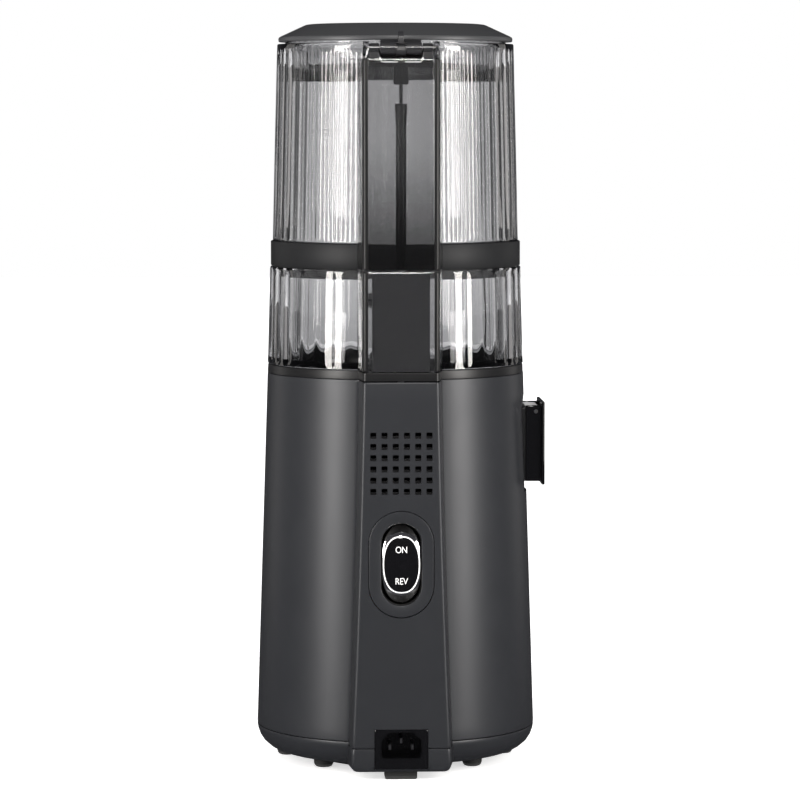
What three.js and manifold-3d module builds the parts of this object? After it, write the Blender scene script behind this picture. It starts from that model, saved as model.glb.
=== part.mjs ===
// An upright slow juicer: a tapered motor base with a rear spine, a fluted bowl with its auger and outlets,
// and a fluted hopper with a hinged lid. Millimetres, +Z up, the front faces -Y and the spine is at +Y.
// The origin is on the worktop under the middle of the object's bounding box.
import * as THREE from "three";
import { mergeVertices } from "three/addons/utils/BufferGeometryUtils.js";
import Module from "manifold-3d";

const wasm = await Module();
wasm.setup();

// ---------- driving dimensions ----------
const GAP = 0.3; // between pieces that touch
const WALL = 3; // moulded shells
const CLEAR_WALL = 2.5; // transparent shells
const ROUND = 40; // sides of a large round shell
const MID = 24; // sides of a part inside the base
const SMALL = 16; // sides of a pin or a foot
const DEG = Math.PI / 180;

// Levels on the vertical axis.
const FLOOR_Z = 5; // underside of the base
const SEAM_Z = 22; // base cover meets housing
const SPINE_SEAM_Z = 20; // base cover meets rear panel
const SEAT_Z = 166; // underside of the bowl seat's floor
const HOUSING_TOP = 245;
const COLLAR_TOP = 250.5;
const BOWL_TOP = 311.8;
const RING_BOTTOM = 312.6;
const RING_TOP = 328;
const HOPPER_TOP = 451;
const LID_EDGE = 452.4;
const LID_RIM = 455.3;
const TOP = 463.5;

// Radii.
const FLAT_R = 76; // flat part of the underside
const BODY_R = 87.8; // housing at its foot
const NECK_R = 80.8; // housing at its top
const BOWL_R = 78.9; // bowl at its top
const RING_R = 78.6;
const HOPPER_FOOT_R = 77.4;
const HOPPER_TOP_R = 73.6;
const LID_R = 73.2;
const LID_FLAT_R = 55;
const FOOT = { radius: 6.2, tread: 4.6, edge: 1.6 }; // rounded from the tread out to the radius
const CUP_R = 74.5; // the bowl's lower cup
const BOWL_FLOOR = 174; // its underside
const BOWL_LIP = COLLAR_TOP + GAP; // where the bowl widens to rest over the collar
const LOCATING_R = 12.9; // the bowl's centre tube, and the skirt of the auger that turns round it

// The spine: how far it stands back, and half its width.
const REACH = 97;
const REACH_LOSS = 2 / 450; // per millimetre of height
const reachAt = (z) => REACH - REACH_LOSS * z;
const DUCT_HALF = 23.2;
const SPINE_DRAFT = Math.tan(7 * DEG);
const FLARE = { slope: 0.0175, curve: 0.000061 }; // the spine widens faster towards its foot
const halfAt = (z) => {
  const down = Math.max(0, HOUSING_TOP - z);
  return DUCT_HALF + FLARE.slope * down + FLARE.curve * down * down;
};
const coneAt = (z) => NECK_R + ((HOUSING_TOP - z) * (BODY_R - NECK_R)) / (HOUSING_TOP - SEAM_Z);

// The cut-out in the front of the housing that the bowl's outlets come through.
const CUT_FROM = 165.5 * DEG;
const CUT_TO = 322 * DEG;
const CUT_Z = 170;

// Outlets, each with u along its own radius and v across it.
const JUICE_ANGLE = 180 * DEG;
const SPOUT_END = 89.8;
const SPOUT_HALF = 17;
const SPOUT_FOOT = 176.5;
const SPOUT_HEAD = 223.2;
const CAP_PIN_U = 87.8;
const CAP_PIN_Z = 220.8;
const CAP_PIN_R = 1.4;
const CAP_U = 91.3;
const CAP_FOOT = 174.6;
const CAP_HEAD = 227;
const CAP_THICK = 2;
const CAP_HALF = 20;
const CAP_LIP = 2;
const CHEEK = { deep: 10, above: 2.1, below: 2.4 }; // behind the plate, above its foot, below its head
const PULP_ANGLE = 300 * DEG;
const PULP_HALF = 20;
const PULP_SKEW = 2 * PULP_HALF * Math.tan(30 * DEG); // lost at the corner that would stand past the base
const PULP_END = (REACH + PULP_HALF * Math.cos(PULP_ANGLE)) / -Math.sin(PULP_ANGLE) - PULP_SKEW;
const CHUTE = { foot: 176, head: 212, drop: 85.5 };
const JUICE_HOLE = { half: 12, low: 178, high: 196 };
const PULP_HOLE = { half: 16, low: 178.5, high: 208 };
const NEAR = 60; // inside the bowl, where tools that open an outlet start
const FAR = 99; // past the widest part of the base, for tools that cut right through

// Switch and mains inlet on the spine.
const SWITCH_Z = 133.3;
const BEZEL = { half: 19.9, tall: 32.7, thick: 2.6 };
const POCKET = { half: 12.35, tall: 25.3, back: 80, wall: 2.2 };
const ROCKER = { half: 11.5, tall: 22.6 };
const ROCKER_AXIS_Y = 87;
const INLET = { half: 16.2, low: 7.4, high: 31.6, face: 97.4, flange: 3 };
const SOCKET = { half: 12.3, low: 14.2, high: 30.2, depth: 17, corner: 3, bevel: 5 };
const BLADES = { line: [-7, 20.2], neutral: [7, 20.2], earth: [0, 24.2] };
const VENT = { columns: 6, rows: 6, pitch: 6.85, size: 3.7, middle: 195.1 };

// Gear train: two 10 to 50 stages on one centre distance, so the output is in line with the motor.
const MODULE = 1.2;
const PINION_TEETH = 10;
const WHEEL_TEETH = 50;
const CENTRES = (MODULE * (PINION_TEETH + WHEEL_TEETH)) / 2;
const PRESSURE = 25 * DEG;
const BACKLASH = 0.3;
const ADDENDUM = 0.8 * MODULE;
const DEDENDUM = 1.05 * MODULE;
const STAGE_1 = [114, 122];
const STAGE_2 = [124, 134];
const GEARBOX = { floor: 107, top: 137, radius: 37 };
const MOTOR = { foot: 42, head: 98, core: 30, radius: 43 };
const SHAFT_R = 6;
const LAY_R = 3; // fixed axle of the compound gear
const BEARING_R = 11;
const DRIVE_R = 5.5; // corner radius of the six-sided drive end
const DRIVE_TOP = 214;

// Lid hinge.
const HINGE = { y: 88.5, z: 447, barrel: 4.5, pin: 1.5, knuckle: 12.6, ear: 23.2 };
const ROD_Y = HINGE.y;
const ROD_R = 3.5;
const PIN_BORE = 2.5; // holes the interlock pins slide in
const SAFETY_TOP = 236; // top of the safety switch
const DUCT_TOP = 441;
const ROD_TRAVEL = 2;
const LID_SWING = 95;

// ---------- helpers ----------
const material = (color, roughness, metalness = 0, opacity = 1) =>
  new THREE.MeshStandardMaterial({ color, roughness, metalness, opacity, transparent: opacity < 1 });

const graphite = material(0x4a4b50, 0.38, 0.35);
const darkPlastic = material(0x1d1e20, 0.45);
const glossBlack = material(0x0b0b0c, 0.12);
const smokeClear = material(0x55565a, 0.06, 0, 0.35);
const chrome = material(0xd8d9dc, 0.08, 1);
const steel = material(0xa9abae, 0.3, 1);
const rubber = material(0x151515, 0.8);
const silicone = material(0x8d8f92, 0.6);
const screwPlastic = material(0x26272a, 0.4);
const copper = material(0xa2562c, 0.35, 1);
const gearNylon = material(0xe6e2d6, 0.5);
const boardGreen = material(0x1c5a34, 0.5);

// A geometry's triangles as a manifold-3d solid, with its faces turned outwards.
function solidOf(geometry) {
  const bare = new THREE.BufferGeometry().setAttribute("position", geometry.getAttribute("position"));
  bare.setIndex(geometry.index);
  const merged = mergeVertices(bare, 1e-3);
  const at = merged.getAttribute("position");
  const point = (i) => new THREE.Vector3().fromBufferAttribute(at, i);
  const corners = [];
  let volume = 0;
  for (let i = 0; i < merged.index.count; i += 3) {
    const [a, b, c] = [0, 1, 2].map((k) => merged.index.getX(i + k));
    if (a === b || b === c || c === a) continue;
    corners.push([a, b, c]);
    volume += point(a).dot(point(b).cross(point(c)));
  }
  const triVerts = new Uint32Array(corners.flatMap(([a, b, c]) => (volume < 0 ? [a, c, b] : [a, b, c])));
  return new wasm.Manifold(new wasm.Mesh({ numProp: 3, vertProperties: at.array, triVerts }));
}

function geometryOf(solid) {
  const { vertProperties, triVerts } = solid.getMesh();
  const made = new THREE.BufferGeometry();
  made.setAttribute("position", new THREE.BufferAttribute(new Float32Array(vertProperties), 3));
  made.setIndex(new THREE.BufferAttribute(new Uint32Array(triVerts), 1));
  made.computeVertexNormals();
  return made;
}

const cut = (solid, ...tools) => tools.reduce((rest, tool) => rest.subtract(tool), solid);
const join = (solid, ...more) => more.reduce((sum, next) => sum.add(next), solid);

function addPiece(group, name, solid, look) {
  const piece = new THREE.Mesh(geometryOf(solid), look);
  piece.name = name;
  group.add(piece);
  return piece;
}

// A turned solid from a profile of [radius, height] pairs. One that leaves the axis is closed on itself.
function turned(profile, sides = ROUND) {
  const points = profile.map(([r, z]) => new THREE.Vector2(r, z));
  const [first, last] = [points[0], points.at(-1)];
  if (first.x > 0 || last.x > 0) points.push(first.clone());
  return solidOf(new THREE.LatheGeometry(points, sides).rotateX(Math.PI / 2));
}

const block = (x0, x1, y0, y1, z0, z1) =>
  solidOf(
    new THREE.BoxGeometry(x1 - x0, y1 - y0, z1 - z0).translate((x0 + x1) / 2, (y0 + y1) / 2, (z0 + z1) / 2),
  );

const post = (radius, z0, z1, x = 0, y = 0, sides = SMALL) =>
  solidOf(
    new THREE.CylinderGeometry(radius, radius, z1 - z0, sides)
      .rotateX(Math.PI / 2)
      .translate(x, y, (z0 + z1) / 2),
  );

const crossPin = (radius, half, y, z, sides = SMALL, x = 0) =>
  solidOf(
    new THREE.CylinderGeometry(radius, radius, 2 * half, sides).rotateZ(Math.PI / 2).translate(x, y, z),
  );

// A flat shape with the given thickness, lying in XY and rising from z0 to z1.
function slab(shape, z0, z1, curveSegments = 8, steps = 1) {
  const options = { depth: z1 - z0, bevelEnabled: false, curveSegments, steps };
  return new THREE.ExtrudeGeometry(shape, options).translate(0, 0, z0);
}

// The same shape stood up in XZ, going from y0 back to y1.
const standing = (shape, y0, y1, curveSegments = 8) =>
  solidOf(slab(shape, -y1, -y0, curveSegments).rotateX(Math.PI / 2));

function racetrack(half, tall, middle = 0) {
  const straight = tall - half;
  return new THREE.Shape()
    .moveTo(half, middle - straight)
    .lineTo(half, middle + straight)
    .absarc(0, middle + straight, half, 0, Math.PI, false)
    .lineTo(-half, middle - straight)
    .absarc(0, middle - straight, half, Math.PI, 2 * Math.PI, false);
}

function sector(from, to, radius, z0, z1) {
  const shape = new THREE.Shape()
    .moveTo(0, 0)
    .lineTo(radius * Math.cos(from), radius * Math.sin(from))
    .absarc(0, 0, radius, from, to, false)
    .lineTo(0, 0);
  return solidOf(slab(shape, z0, z1, 24));
}

// The spine's outline, drawn at z0 and drawn in or out with height. inset makes the pocket inside it.
function spine(z0, z1, inset = 0, front = 40) {
  const [half, back, corner] = [halfAt(z0) - inset, reachAt(z0) - inset, 2.5];
  const frontHalf = half + (back - front) * SPINE_DRAFT;
  const shape = new THREE.Shape()
    .moveTo(-frontHalf, front)
    .lineTo(frontHalf, front)
    .lineTo(half + corner * SPINE_DRAFT, back - corner)
    .quadraticCurveTo(half, back, half - corner, back)
    .lineTo(corner - half, back)
    .quadraticCurveTo(-half, back, -half - corner * SPINE_DRAFT, back - corner)
    .closePath();
  const steps = Math.max(1, Math.round((z1 - z0) / 40));
  const made = slab(shape, z0, z1, 3, steps);
  const at = made.getAttribute("position");
  for (let i = 0; i < at.count; i += 1) {
    const z = at.getZ(i);
    at.setX(i, at.getX(i) * ((halfAt(z) - inset) / half));
    at.setY(i, at.getY(i) + reachAt(z) - reachAt(z0));
  }
  return solidOf(made);
}

// A spur gear with its tooth flanks drawn through the root, pitch and tip circles.
function gear(teeth, toothAt, [z0, z1], bore) {
  const pitch = (MODULE * teeth) / 2;
  const base = pitch * Math.cos(PRESSURE);
  const involute = (r) => {
    const angle = Math.acos(Math.min(1, base / r));
    return Math.tan(angle) - angle;
  };
  const halfTooth = (r) =>
    ((Math.PI * MODULE) / 2 - BACKLASH) / 2 / pitch + involute(pitch) - involute(Math.max(r, base));
  const circles = [pitch - DEDENDUM, pitch, pitch + ADDENDUM];
  const outline = [];
  for (let tooth = 0; tooth < teeth; tooth += 1) {
    const middle = toothAt + (tooth * 2 * Math.PI) / teeth;
    const flank = (r, side) => {
      const angle = middle + side * halfTooth(r);
      outline.push(new THREE.Vector2(r * Math.cos(angle), r * Math.sin(angle)));
    };
    circles.forEach((r) => flank(r, -1));
    circles.toReversed().forEach((r) => flank(r, 1));
  }
  const shape = new THREE.Shape(outline);
  if (bore) shape.holes.push(new THREE.Path().absarc(0, 0, bore, 0, 2 * Math.PI, true));
  return solidOf(slab(shape, z0, z1, 8));
}

// A screw flight: a ridge of square section wound round a core.
function flight(coreAt, outAt, z0, z1, turns, start, thick) {
  const steps = Math.round(Math.abs(turns) * 18);
  const position = [];
  const index = [];
  for (let i = 0; i <= steps; i += 1) {
    const share = i / steps;
    const angle = start + turns * 2 * Math.PI * share;
    const z = z0 + (z1 - z0) * share;
    const corners = [
      [coreAt(z), z - thick / 2],
      [outAt(z), z - thick / 2],
      [outAt(z), z + thick / 2],
      [coreAt(z), z + thick / 2],
    ];
    corners.forEach(([r, level]) => position.push(r * Math.cos(angle), r * Math.sin(angle), level));
    if (i < steps)
      for (let k = 0; k < 4; k += 1) {
        const [a, b] = [4 * i + k, 4 * i + ((k + 1) % 4)];
        index.push(a, b, b + 4, a, b + 4, a + 4);
      }
  }
  const end = 4 * steps;
  index.push(0, 2, 1, 0, 3, 2, end, end + 1, end + 2, end, end + 2, end + 3);
  const made = new THREE.BufferGeometry();
  made.setAttribute("position", new THREE.Float32BufferAttribute(position, 3));
  made.setIndex(index);
  return solidOf(made);
}

// A tool or piece drawn with u along +X and v along +Y, turned to an outlet's direction.
const facing = (solid, angle) => solidOf(geometryOf(solid).rotateZ(angle));

// A square way along an outlet's direction.
const through = (u0, u1, { half, low, high }) => block(u0, u1, -half, half, low, high);

// A tube's wall, as a profile.
const ring = (inner, outer, z0, z1) => [
  [inner, z0],
  [outer, z0],
  [outer, z1],
  [inner, z1],
];

// ---------- motor base: shells ----------
const inletHole = () =>
  block(-INLET.half - GAP, INLET.half + GAP, 72, 100, INLET.low - GAP, INLET.high + GAP);

function buildBaseCover(group) {
  const pan = turned([
    [0, FLOOR_Z],
    [FLAT_R, FLOOR_Z],
    [80.6, 7],
    [84.6, 10.8],
    [87, 16],
    [BODY_R, SEAM_Z - GAP],
    [BODY_R - WALL, SEAM_Z - GAP],
    [84, 16],
    [80, 10.5],
    [FLAT_R - 1, FLOOR_Z + WALL],
    [0, FLOOR_Z + WALL],
  ]);
  const tail = cut(spine(FLOOR_Z, SPINE_SEAM_Z - GAP, 0, 70), spine(FLOOR_Z + WALL, SEAM_Z, WALL, 68));
  const panInside = turned([
    [0, FLOOR_Z + WALL],
    [FLAT_R - 1, FLOOR_Z + WALL],
    [80, 10.5],
    [84, 16],
    [BODY_R - WALL, SEAM_Z + 1],
    [0, SEAM_Z + 1],
  ]);
  const slot = { half: 24, halfWide: 3, pitch: 12, deep: 12 };
  const slots = [-2, -1, 0, 1, 2].map((k) => {
    const middle = k * slot.pitch;
    return block(-slot.half, slot.half, middle - slot.halfWide, middle + slot.halfWide, 0, slot.deep);
  });
  addPiece(group, "base_cover", cut(join(pan, cut(tail, panInside)), inletHole(), ...slots), graphite);
}

function buildHousing(group) {
  const shell = turned([
    [BODY_R, SEAM_Z],
    [NECK_R, HOUSING_TOP],
    [NECK_R - WALL, HOUSING_TOP],
    [BODY_R - WALL, SEAM_Z],
  ]);
  const window = spine(SEAM_Z - 1, HOUSING_TOP + 1, WALL + 1, 60);
  const outlets = sector(CUT_FROM, CUT_TO, 100, CUT_Z, HOUSING_TOP + 1);
  const boss = { at: 71, radius: 5, top: 60 };
  const bosses = [35, 145, 215, 325].map((angle) =>
    facing(
      join(post(boss.radius, SEAM_Z, boss.top, boss.at, 0, 12), block(boss.at, 85, -2, 2, SEAM_Z, boss.top)),
      angle * DEG,
    ),
  );
  addPiece(group, "main_housing", cut(join(shell, ...bosses), window, outlets), graphite);
}

function buildRearPanel(group) {
  const around = turned([
    [0, 0],
    [BODY_R + GAP + 0.7, 0],
    [coneAt(SEAM_Z) + GAP, SEAM_Z],
    [NECK_R + GAP, HOUSING_TOP + 2],
    [0, HOUSING_TOP + 2],
  ]);
  const vents = [];
  for (let column = 0; column < VENT.columns; column += 1)
    for (let row = 0; row < VENT.rows; row += 1) {
      const x = (column - (VENT.columns - 1) / 2) * VENT.pitch;
      const z = VENT.middle + (row - (VENT.rows - 1) / 2) * VENT.pitch;
      const half = VENT.size / 2;
      vents.push(block(x - half, x + half, 85, 100, z - half, z + half));
    }
  const panel = cut(
    spine(SPINE_SEAM_Z, HOUSING_TOP - GAP),
    spine(SPINE_SEAM_Z - 1, HOUSING_TOP - WALL, WALL),
    around,
    inletHole(),
    standing(racetrack(BEZEL.half + GAP, BEZEL.tall + GAP, SWITCH_Z), 80, 100),
    post(PIN_BORE, HOUSING_TOP - 6, HOUSING_TOP + 1, 0, ROD_Y),
    ...vents,
  );
  addPiece(group, "rear_panel", panel, graphite);
}

// The black inner case. Its rim is the collar that shows above the housing.
function buildSeat(group) {
  const seatWall = 77.3;
  const boss = { inside: BEARING_R + GAP, outside: 17, foot: 150 };
  const seat = turned([
    [boss.inside, boss.foot],
    [boss.outside, boss.foot],
    [boss.outside, SEAT_Z],
    [seatWall + 2.5, SEAT_Z],
    [seatWall + 2.5, SEAT_Z + WALL],
    [seatWall, SEAT_Z + WALL],
    [seatWall, HOUSING_TOP + GAP],
    [NECK_R - 0.2, HOUSING_TOP + GAP],
    [NECK_R - 0.4, COLLAR_TOP],
    [seatWall - 1.8, COLLAR_TOP],
    [seatWall - 1.8, SEAT_Z + WALL + 1],
    [boss.outside - 3, SEAT_Z + WALL],
    [boss.outside - 3, SEAT_Z + 6],
    [boss.inside, SEAT_Z + 6],
  ]);
  const collarTail = cut(
    spine(HOUSING_TOP + GAP, COLLAR_TOP, 0, 70),
    turned([[0, 200], [seatWall - 1, 200], [seatWall - 1, 260], [0, 260]]),
    post(PIN_BORE, HOUSING_TOP - 2, COLLAR_TOP + 1, 0, ROD_Y),
  );
  addPiece(
    group,
    "bowl_seat",
    cut(join(seat, collarTail), sector(CUT_FROM, CUT_TO, 100, CUT_Z, COLLAR_TOP + 1)),
    darkPlastic,
  );
}

// ---------- feet ----------
function buildFeet(group) {
  const pairs = { rear: [46.5, 42], side: [69, -5], front: [35, -60] };
  Object.entries(pairs).forEach(([name, [x, y]]) =>
    Object.entries({ left: -1, right: 1 }).forEach(([hand, side]) => {
      const foot = turned(
        [
          [0, 0],
          [FOOT.tread, 0],
          [FOOT.radius, FOOT.edge],
          [FOOT.radius, FLOOR_Z - GAP],
          [0, FLOOR_Z - GAP],
        ],
        SMALL,
      );
      const piece = addPiece(group, `foot_${name}_${hand}`, foot, rubber);
      piece.position.set(side * x, y, 0);
    }),
  );
  addPiece(group, "foot_spine", block(-10, 10, 79, 91, 0, FLOOR_Z - GAP), rubber);
}

// ---------- switch and inlet ----------
function buildSwitch(group) {
  const [face, back] = [reachAt(SWITCH_Z), POCKET.back];
  const plate = standing(racetrack(BEZEL.half, BEZEL.tall, SWITCH_Z), face - BEZEL.thick, face);
  const around = racetrack(POCKET.half + POCKET.wall, POCKET.tall + POCKET.wall, SWITCH_Z);
  const sleeve = standing(around, back, face - BEZEL.thick);
  const pocket = standing(racetrack(POCKET.half, POCKET.tall, SWITCH_Z), back - 1, face + 1);
  const bearing = crossPin(2.3, POCKET.half + 4, ROCKER_AXIS_Y, SWITCH_Z);
  addPiece(group, "switch_bezel", cut(join(plate, sleeve), pocket, bearing), graphite);

  const keyBody = standing(racetrack(ROCKER.half, ROCKER.tall, SWITCH_Z), ROCKER_AXIS_Y - 2, face);
  const wedge = (side) =>
    solidOf(
      geometryOf(block(-20, 20, 0, 12, 0, 30))
        .rotateX(side * -24 * DEG)
        .scale(1, 1, side)
        .translate(0, face - 1, SWITCH_Z + side * 15),
    );
  const trunnions = crossPin(2, POCKET.half + 1.8, ROCKER_AXIS_Y, SWITCH_Z);
  addPiece(group, "rocker", join(cut(keyBody, wedge(1), wedge(-1)), trunnions), chrome);
  const oval = new THREE.Shape().absellipse(0, SWITCH_Z, 10.6, 14.4, 0, 2 * Math.PI);
  addPiece(group, "rocker_face", standing(oval, face + GAP, face + GAP + 0.8, 16), glossBlack);
  addPiece(
    group,
    "switch_block",
    block(-13, 13, 66, back - GAP, SWITCH_Z - 24, SWITCH_Z + 24),
    darkPlastic,
  );
}

function buildInlet(group) {
  const { half, low, high, corner, bevel } = SOCKET;
  const opening = new THREE.Shape()
    .moveTo(-half, low + corner)
    .quadraticCurveTo(-half, low, corner - half, low)
    .lineTo(half - corner, low)
    .quadraticCurveTo(half, low, half, low + corner)
    .lineTo(half, high - bevel)
    .lineTo(half - bevel, high)
    .lineTo(bevel - half, high)
    .lineTo(-half, high - bevel)
    .closePath();
  const floor = INLET.face - SOCKET.depth;
  const blade = { x: 1, z: 2 };
  const bladeHoles = Object.values(BLADES).map(([x, z]) =>
    block(x - blade.x - GAP, x + blade.x + GAP, 60, 90, z - blade.z - GAP, z + blade.z + GAP),
  );
  const housing = join(
    block(-INLET.half, INLET.half, INLET.face - INLET.flange, INLET.face, INLET.low, INLET.high),
    block(-14.5, 14.5, 74, INLET.face - INLET.flange, 11.5, INLET.high),
  );
  const socket = cut(housing, standing(opening, floor, INLET.face + 1, 3), ...bladeHoles);
  addPiece(group, "inlet_socket", socket, glossBlack);
  Object.entries(BLADES).forEach(([name, [x, z]]) => {
    const bar = block(-blade.x, blade.x, 70, INLET.face - 5.5, -blade.z, blade.z);
    addPiece(group, `inlet_blade_${name}`, bar, steel).position.set(x, 0, z);
  });
}

function buildElectronics(group) {
  const board = join(
    block(-26, 26, 58, 59.6, 42, 100),
    block(-20, -6, 59, 66, 46, 62),
    block(2, 18, 59, 64, 50, 70),
    block(-14, 12, 59, 63, 78, 92),
  );
  addPiece(group, "control_board", board, boardGreen);
  addPiece(group, "safety_switch", block(-7, 7, 84, 92, SAFETY_TOP - 20, SAFETY_TOP), darkPlastic);
  addPiece(group, "switch_plunger", post(2, SAFETY_TOP + GAP, COLLAR_TOP - 0.2, 0, ROD_Y), silicone);
}

// ---------- motor and gears ----------
function buildMotor(group) {
  const { foot, head, core, radius } = MOTOR;
  addPiece(group, "motor_stator", turned(ring(core, radius, foot, head), MID), steel);
  const windings = [
    [core - 8, foot - 6],
    [core + 8, foot - 6],
    [core + 8, foot - GAP],
    [core - GAP, foot - GAP],
    [core - GAP, head + GAP],
    [core + 8, head + GAP],
    [core + 8, head + 6],
    [core - 8, head + 6],
  ];
  addPiece(group, "motor_windings", turned(windings, MID), copper);
  const spindle = 4;
  const rotor = turned(
    [
      [0, 28],
      [spindle, 28],
      [spindle, foot + 2],
      [core - 9, foot + 2],
      [core - 9, head - 2],
      [spindle, head - 2],
      [spindle, STAGE_1[0]],
      [0, STAGE_1[0]],
    ],
    MID,
  );
  const pinionAt = -Math.PI / 2;
  addPiece(group, "motor_rotor", join(rotor, gear(PINION_TEETH, pinionAt, STAGE_1)), steel);

  const fan = { low: 22, high: 33, hub: 10, radius: 36 };
  const hub = turned(ring(spindle + GAP, fan.hub, fan.low, fan.high), MID);
  const disc = turned(ring(fan.hub - 1, fan.radius, fan.low, fan.low + 1.5), MID);
  const blades = Array.from({ length: 8 }, (_, i) =>
    facing(block(fan.hub - 1, fan.radius, -1, 1, fan.low + 1, fan.high - 1), i * 45 * DEG),
  );
  addPiece(group, "motor_fan", join(hub, disc, ...blades), darkPlastic);
}

function buildGearbox(group) {
  const stadium = (radius) =>
    new THREE.Shape()
      .moveTo(radius, -CENTRES)
      .lineTo(radius, 0)
      .absarc(0, 0, radius, 0, Math.PI, false)
      .lineTo(-radius, -CENTRES)
      .absarc(0, -CENTRES, radius, Math.PI, 2 * Math.PI, false);
  const { floor, top, radius } = GEARBOX;
  const layHole = LAY_R + GAP;
  const gearCase = cut(
    solidOf(slab(stadium(radius), floor, top, 16)),
    solidOf(slab(stadium(radius - WALL), floor + WALL, top + 1, 16)),
    post(5, floor - 1, floor + 5, 0, 0, MID),
    post(layHole, floor - 1, floor + 5, 0, -CENTRES),
  );
  addPiece(group, "gearbox_case", gearCase, darkPlastic);
  const cover = cut(
    join(solidOf(slab(stadium(radius), top + GAP, top + 4, 16)), post(15, top + 1, 146, 0, 0, MID)),
    post(BEARING_R + GAP, top, 147, 0, 0, MID),
    post(layHole, top - 1, top + 5, 0, -CENTRES),
  );
  addPiece(group, "gearbox_cover", cover, darkPlastic);
  addPiece(group, "lay_axle", post(LAY_R, floor, top + 4, 0, -CENTRES), steel);

  const wheelAt = Math.PI / 2 + Math.PI / WHEEL_TEETH;
  const compound = join(
    gear(WHEEL_TEETH, wheelAt, [STAGE_1[0] + 1, STAGE_1[1] - 1], LAY_R + 0.2),
    gear(PINION_TEETH, Math.PI / 2, [STAGE_1[1] - 1.5, STAGE_2[1] + 1], LAY_R + 0.2),
  );
  addPiece(group, "compound_gear", compound, gearNylon).position.y = -CENTRES;
  const outputAt = -Math.PI / 2 + Math.PI / WHEEL_TEETH;
  addPiece(group, "output_gear", gear(WHEEL_TEETH, outputAt, STAGE_2, SHAFT_R + GAP), gearNylon);
  const shaft = join(
    post(SHAFT_R, STAGE_2[0] - 1, 172, 0, 0, MID),
    post(8, STAGE_2[1] + GAP, STAGE_2[1] + 2, 0, 0, MID),
    post(DRIVE_R, 171, DRIVE_TOP, 0, 0, 6),
  );
  addPiece(group, "output_shaft", shaft, steel);
  addPiece(group, "gearbox_bearing", turned(ring(SHAFT_R + GAP, BEARING_R, 138, 145), MID), steel);
  addPiece(group, "shaft_bearing", turned(ring(SHAFT_R + GAP, BEARING_R, 152, 160), MID), steel);
  addPiece(group, "shaft_seal", turned(ring(SHAFT_R + GAP, BEARING_R, 163, SEAT_Z + 5.5), MID), rubber);
}

// ---------- bowl ----------
function buildBowl(group) {
  const [floor, lip, tube] = [BOWL_FLOOR, BOWL_LIP, { inside: 9.2, outside: 12.2, top: 196 }];
  const shell = turned([
    [tube.inside, floor],
    [CUP_R - 1, floor],
    [CUP_R, lip],
    [coneAt(lip) + 0.2, lip],
    [BOWL_R, BOWL_TOP],
    [BOWL_R - CLEAR_WALL, BOWL_TOP],
    [CUP_R + 2.5, lip + CLEAR_WALL + 1],
    [CUP_R - CLEAR_WALL, lip - 3],
    [CUP_R - CLEAR_WALL - 1, floor + WALL],
    [tube.outside, floor + WALL],
    [tube.outside, tube.top],
    [tube.inside, tube.top],
  ]);
  const juiceHole = facing(through(NEAR, 85, JUICE_HOLE), JUICE_ANGLE);
  const pulpHole = facing(through(NEAR, 85, PULP_HOLE), PULP_ANGLE);
  addPiece(group, "bowl", cut(shell, juiceHole, pulpHole), smokeClear);
  const gasket = turned(ring(14.4, 18.4, floor - 4.7, floor - GAP));
  addPiece(group, "bowl_gasket", gasket, silicone);
}

function buildBowlDuct(group) {
  const lip = BOWL_LIP;
  const bowlOutside = turned([
    [0, lip - 2],
    [NECK_R + 0.6, lip - 2],
    [BOWL_R + 0.6, BOWL_TOP + 2],
    [0, BOWL_TOP + 2],
  ]);
  const duct = cut(spine(lip, BOWL_TOP), spine(lip - 1, BOWL_TOP + 1, CLEAR_WALL), bowlOutside);
  addPiece(group, "bowl_duct", duct, smokeClear);
  const core = cut(block(-17.5, 17.5, 82.2, 92.4, 251.4, 310.5), post(3, 250, 312, 0, ROD_Y));
  addPiece(group, "bowl_duct_core", core, darkPlastic);
  addPiece(group, "transfer_pin", post(2.6, COLLAR_TOP + 0.1, RING_BOTTOM + 0.5, 0, ROD_Y), silicone);
}

// The painted apron under the outlets, which fills the housing's cut-out and lifts off with the bowl.
function buildApron(group) {
  const setBack = 1.2;
  const apronRing = turned([
    [coneAt(CUT_Z) - WALL - setBack, CUT_Z + GAP],
    [coneAt(CUT_Z) - setBack, CUT_Z + GAP],
    [coneAt(SPOUT_HEAD) - setBack, SPOUT_HEAD],
    [NECK_R, SPOUT_HEAD + 8],
    [NECK_R - 0.4, COLLAR_TOP],
    [NECK_R - WALL, COLLAR_TOP],
    [NECK_R - WALL, SPOUT_HEAD],
  ]);
  const clearance = 0.34 * DEG;
  const spoutWay = { half: SPOUT_HALF + GAP, low: SPOUT_FOOT - GAP, high: SPOUT_HEAD + GAP };
  const chuteWay = { half: PULP_HALF + GAP, low: CHUTE.foot - GAP, high: CHUTE.head + GAP };
  const apron = cut(
    apronRing.intersect(sector(CUT_FROM + clearance, CUT_TO - clearance, FAR + 1, CUT_Z, COLLAR_TOP + 1)),
    facing(through(NEAR, FAR, spoutWay), JUICE_ANGLE),
    facing(through(NEAR, FAR, chuteWay), PULP_ANGLE),
  );
  addPiece(group, "outlet_apron", apron, darkPlastic);
}

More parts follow.
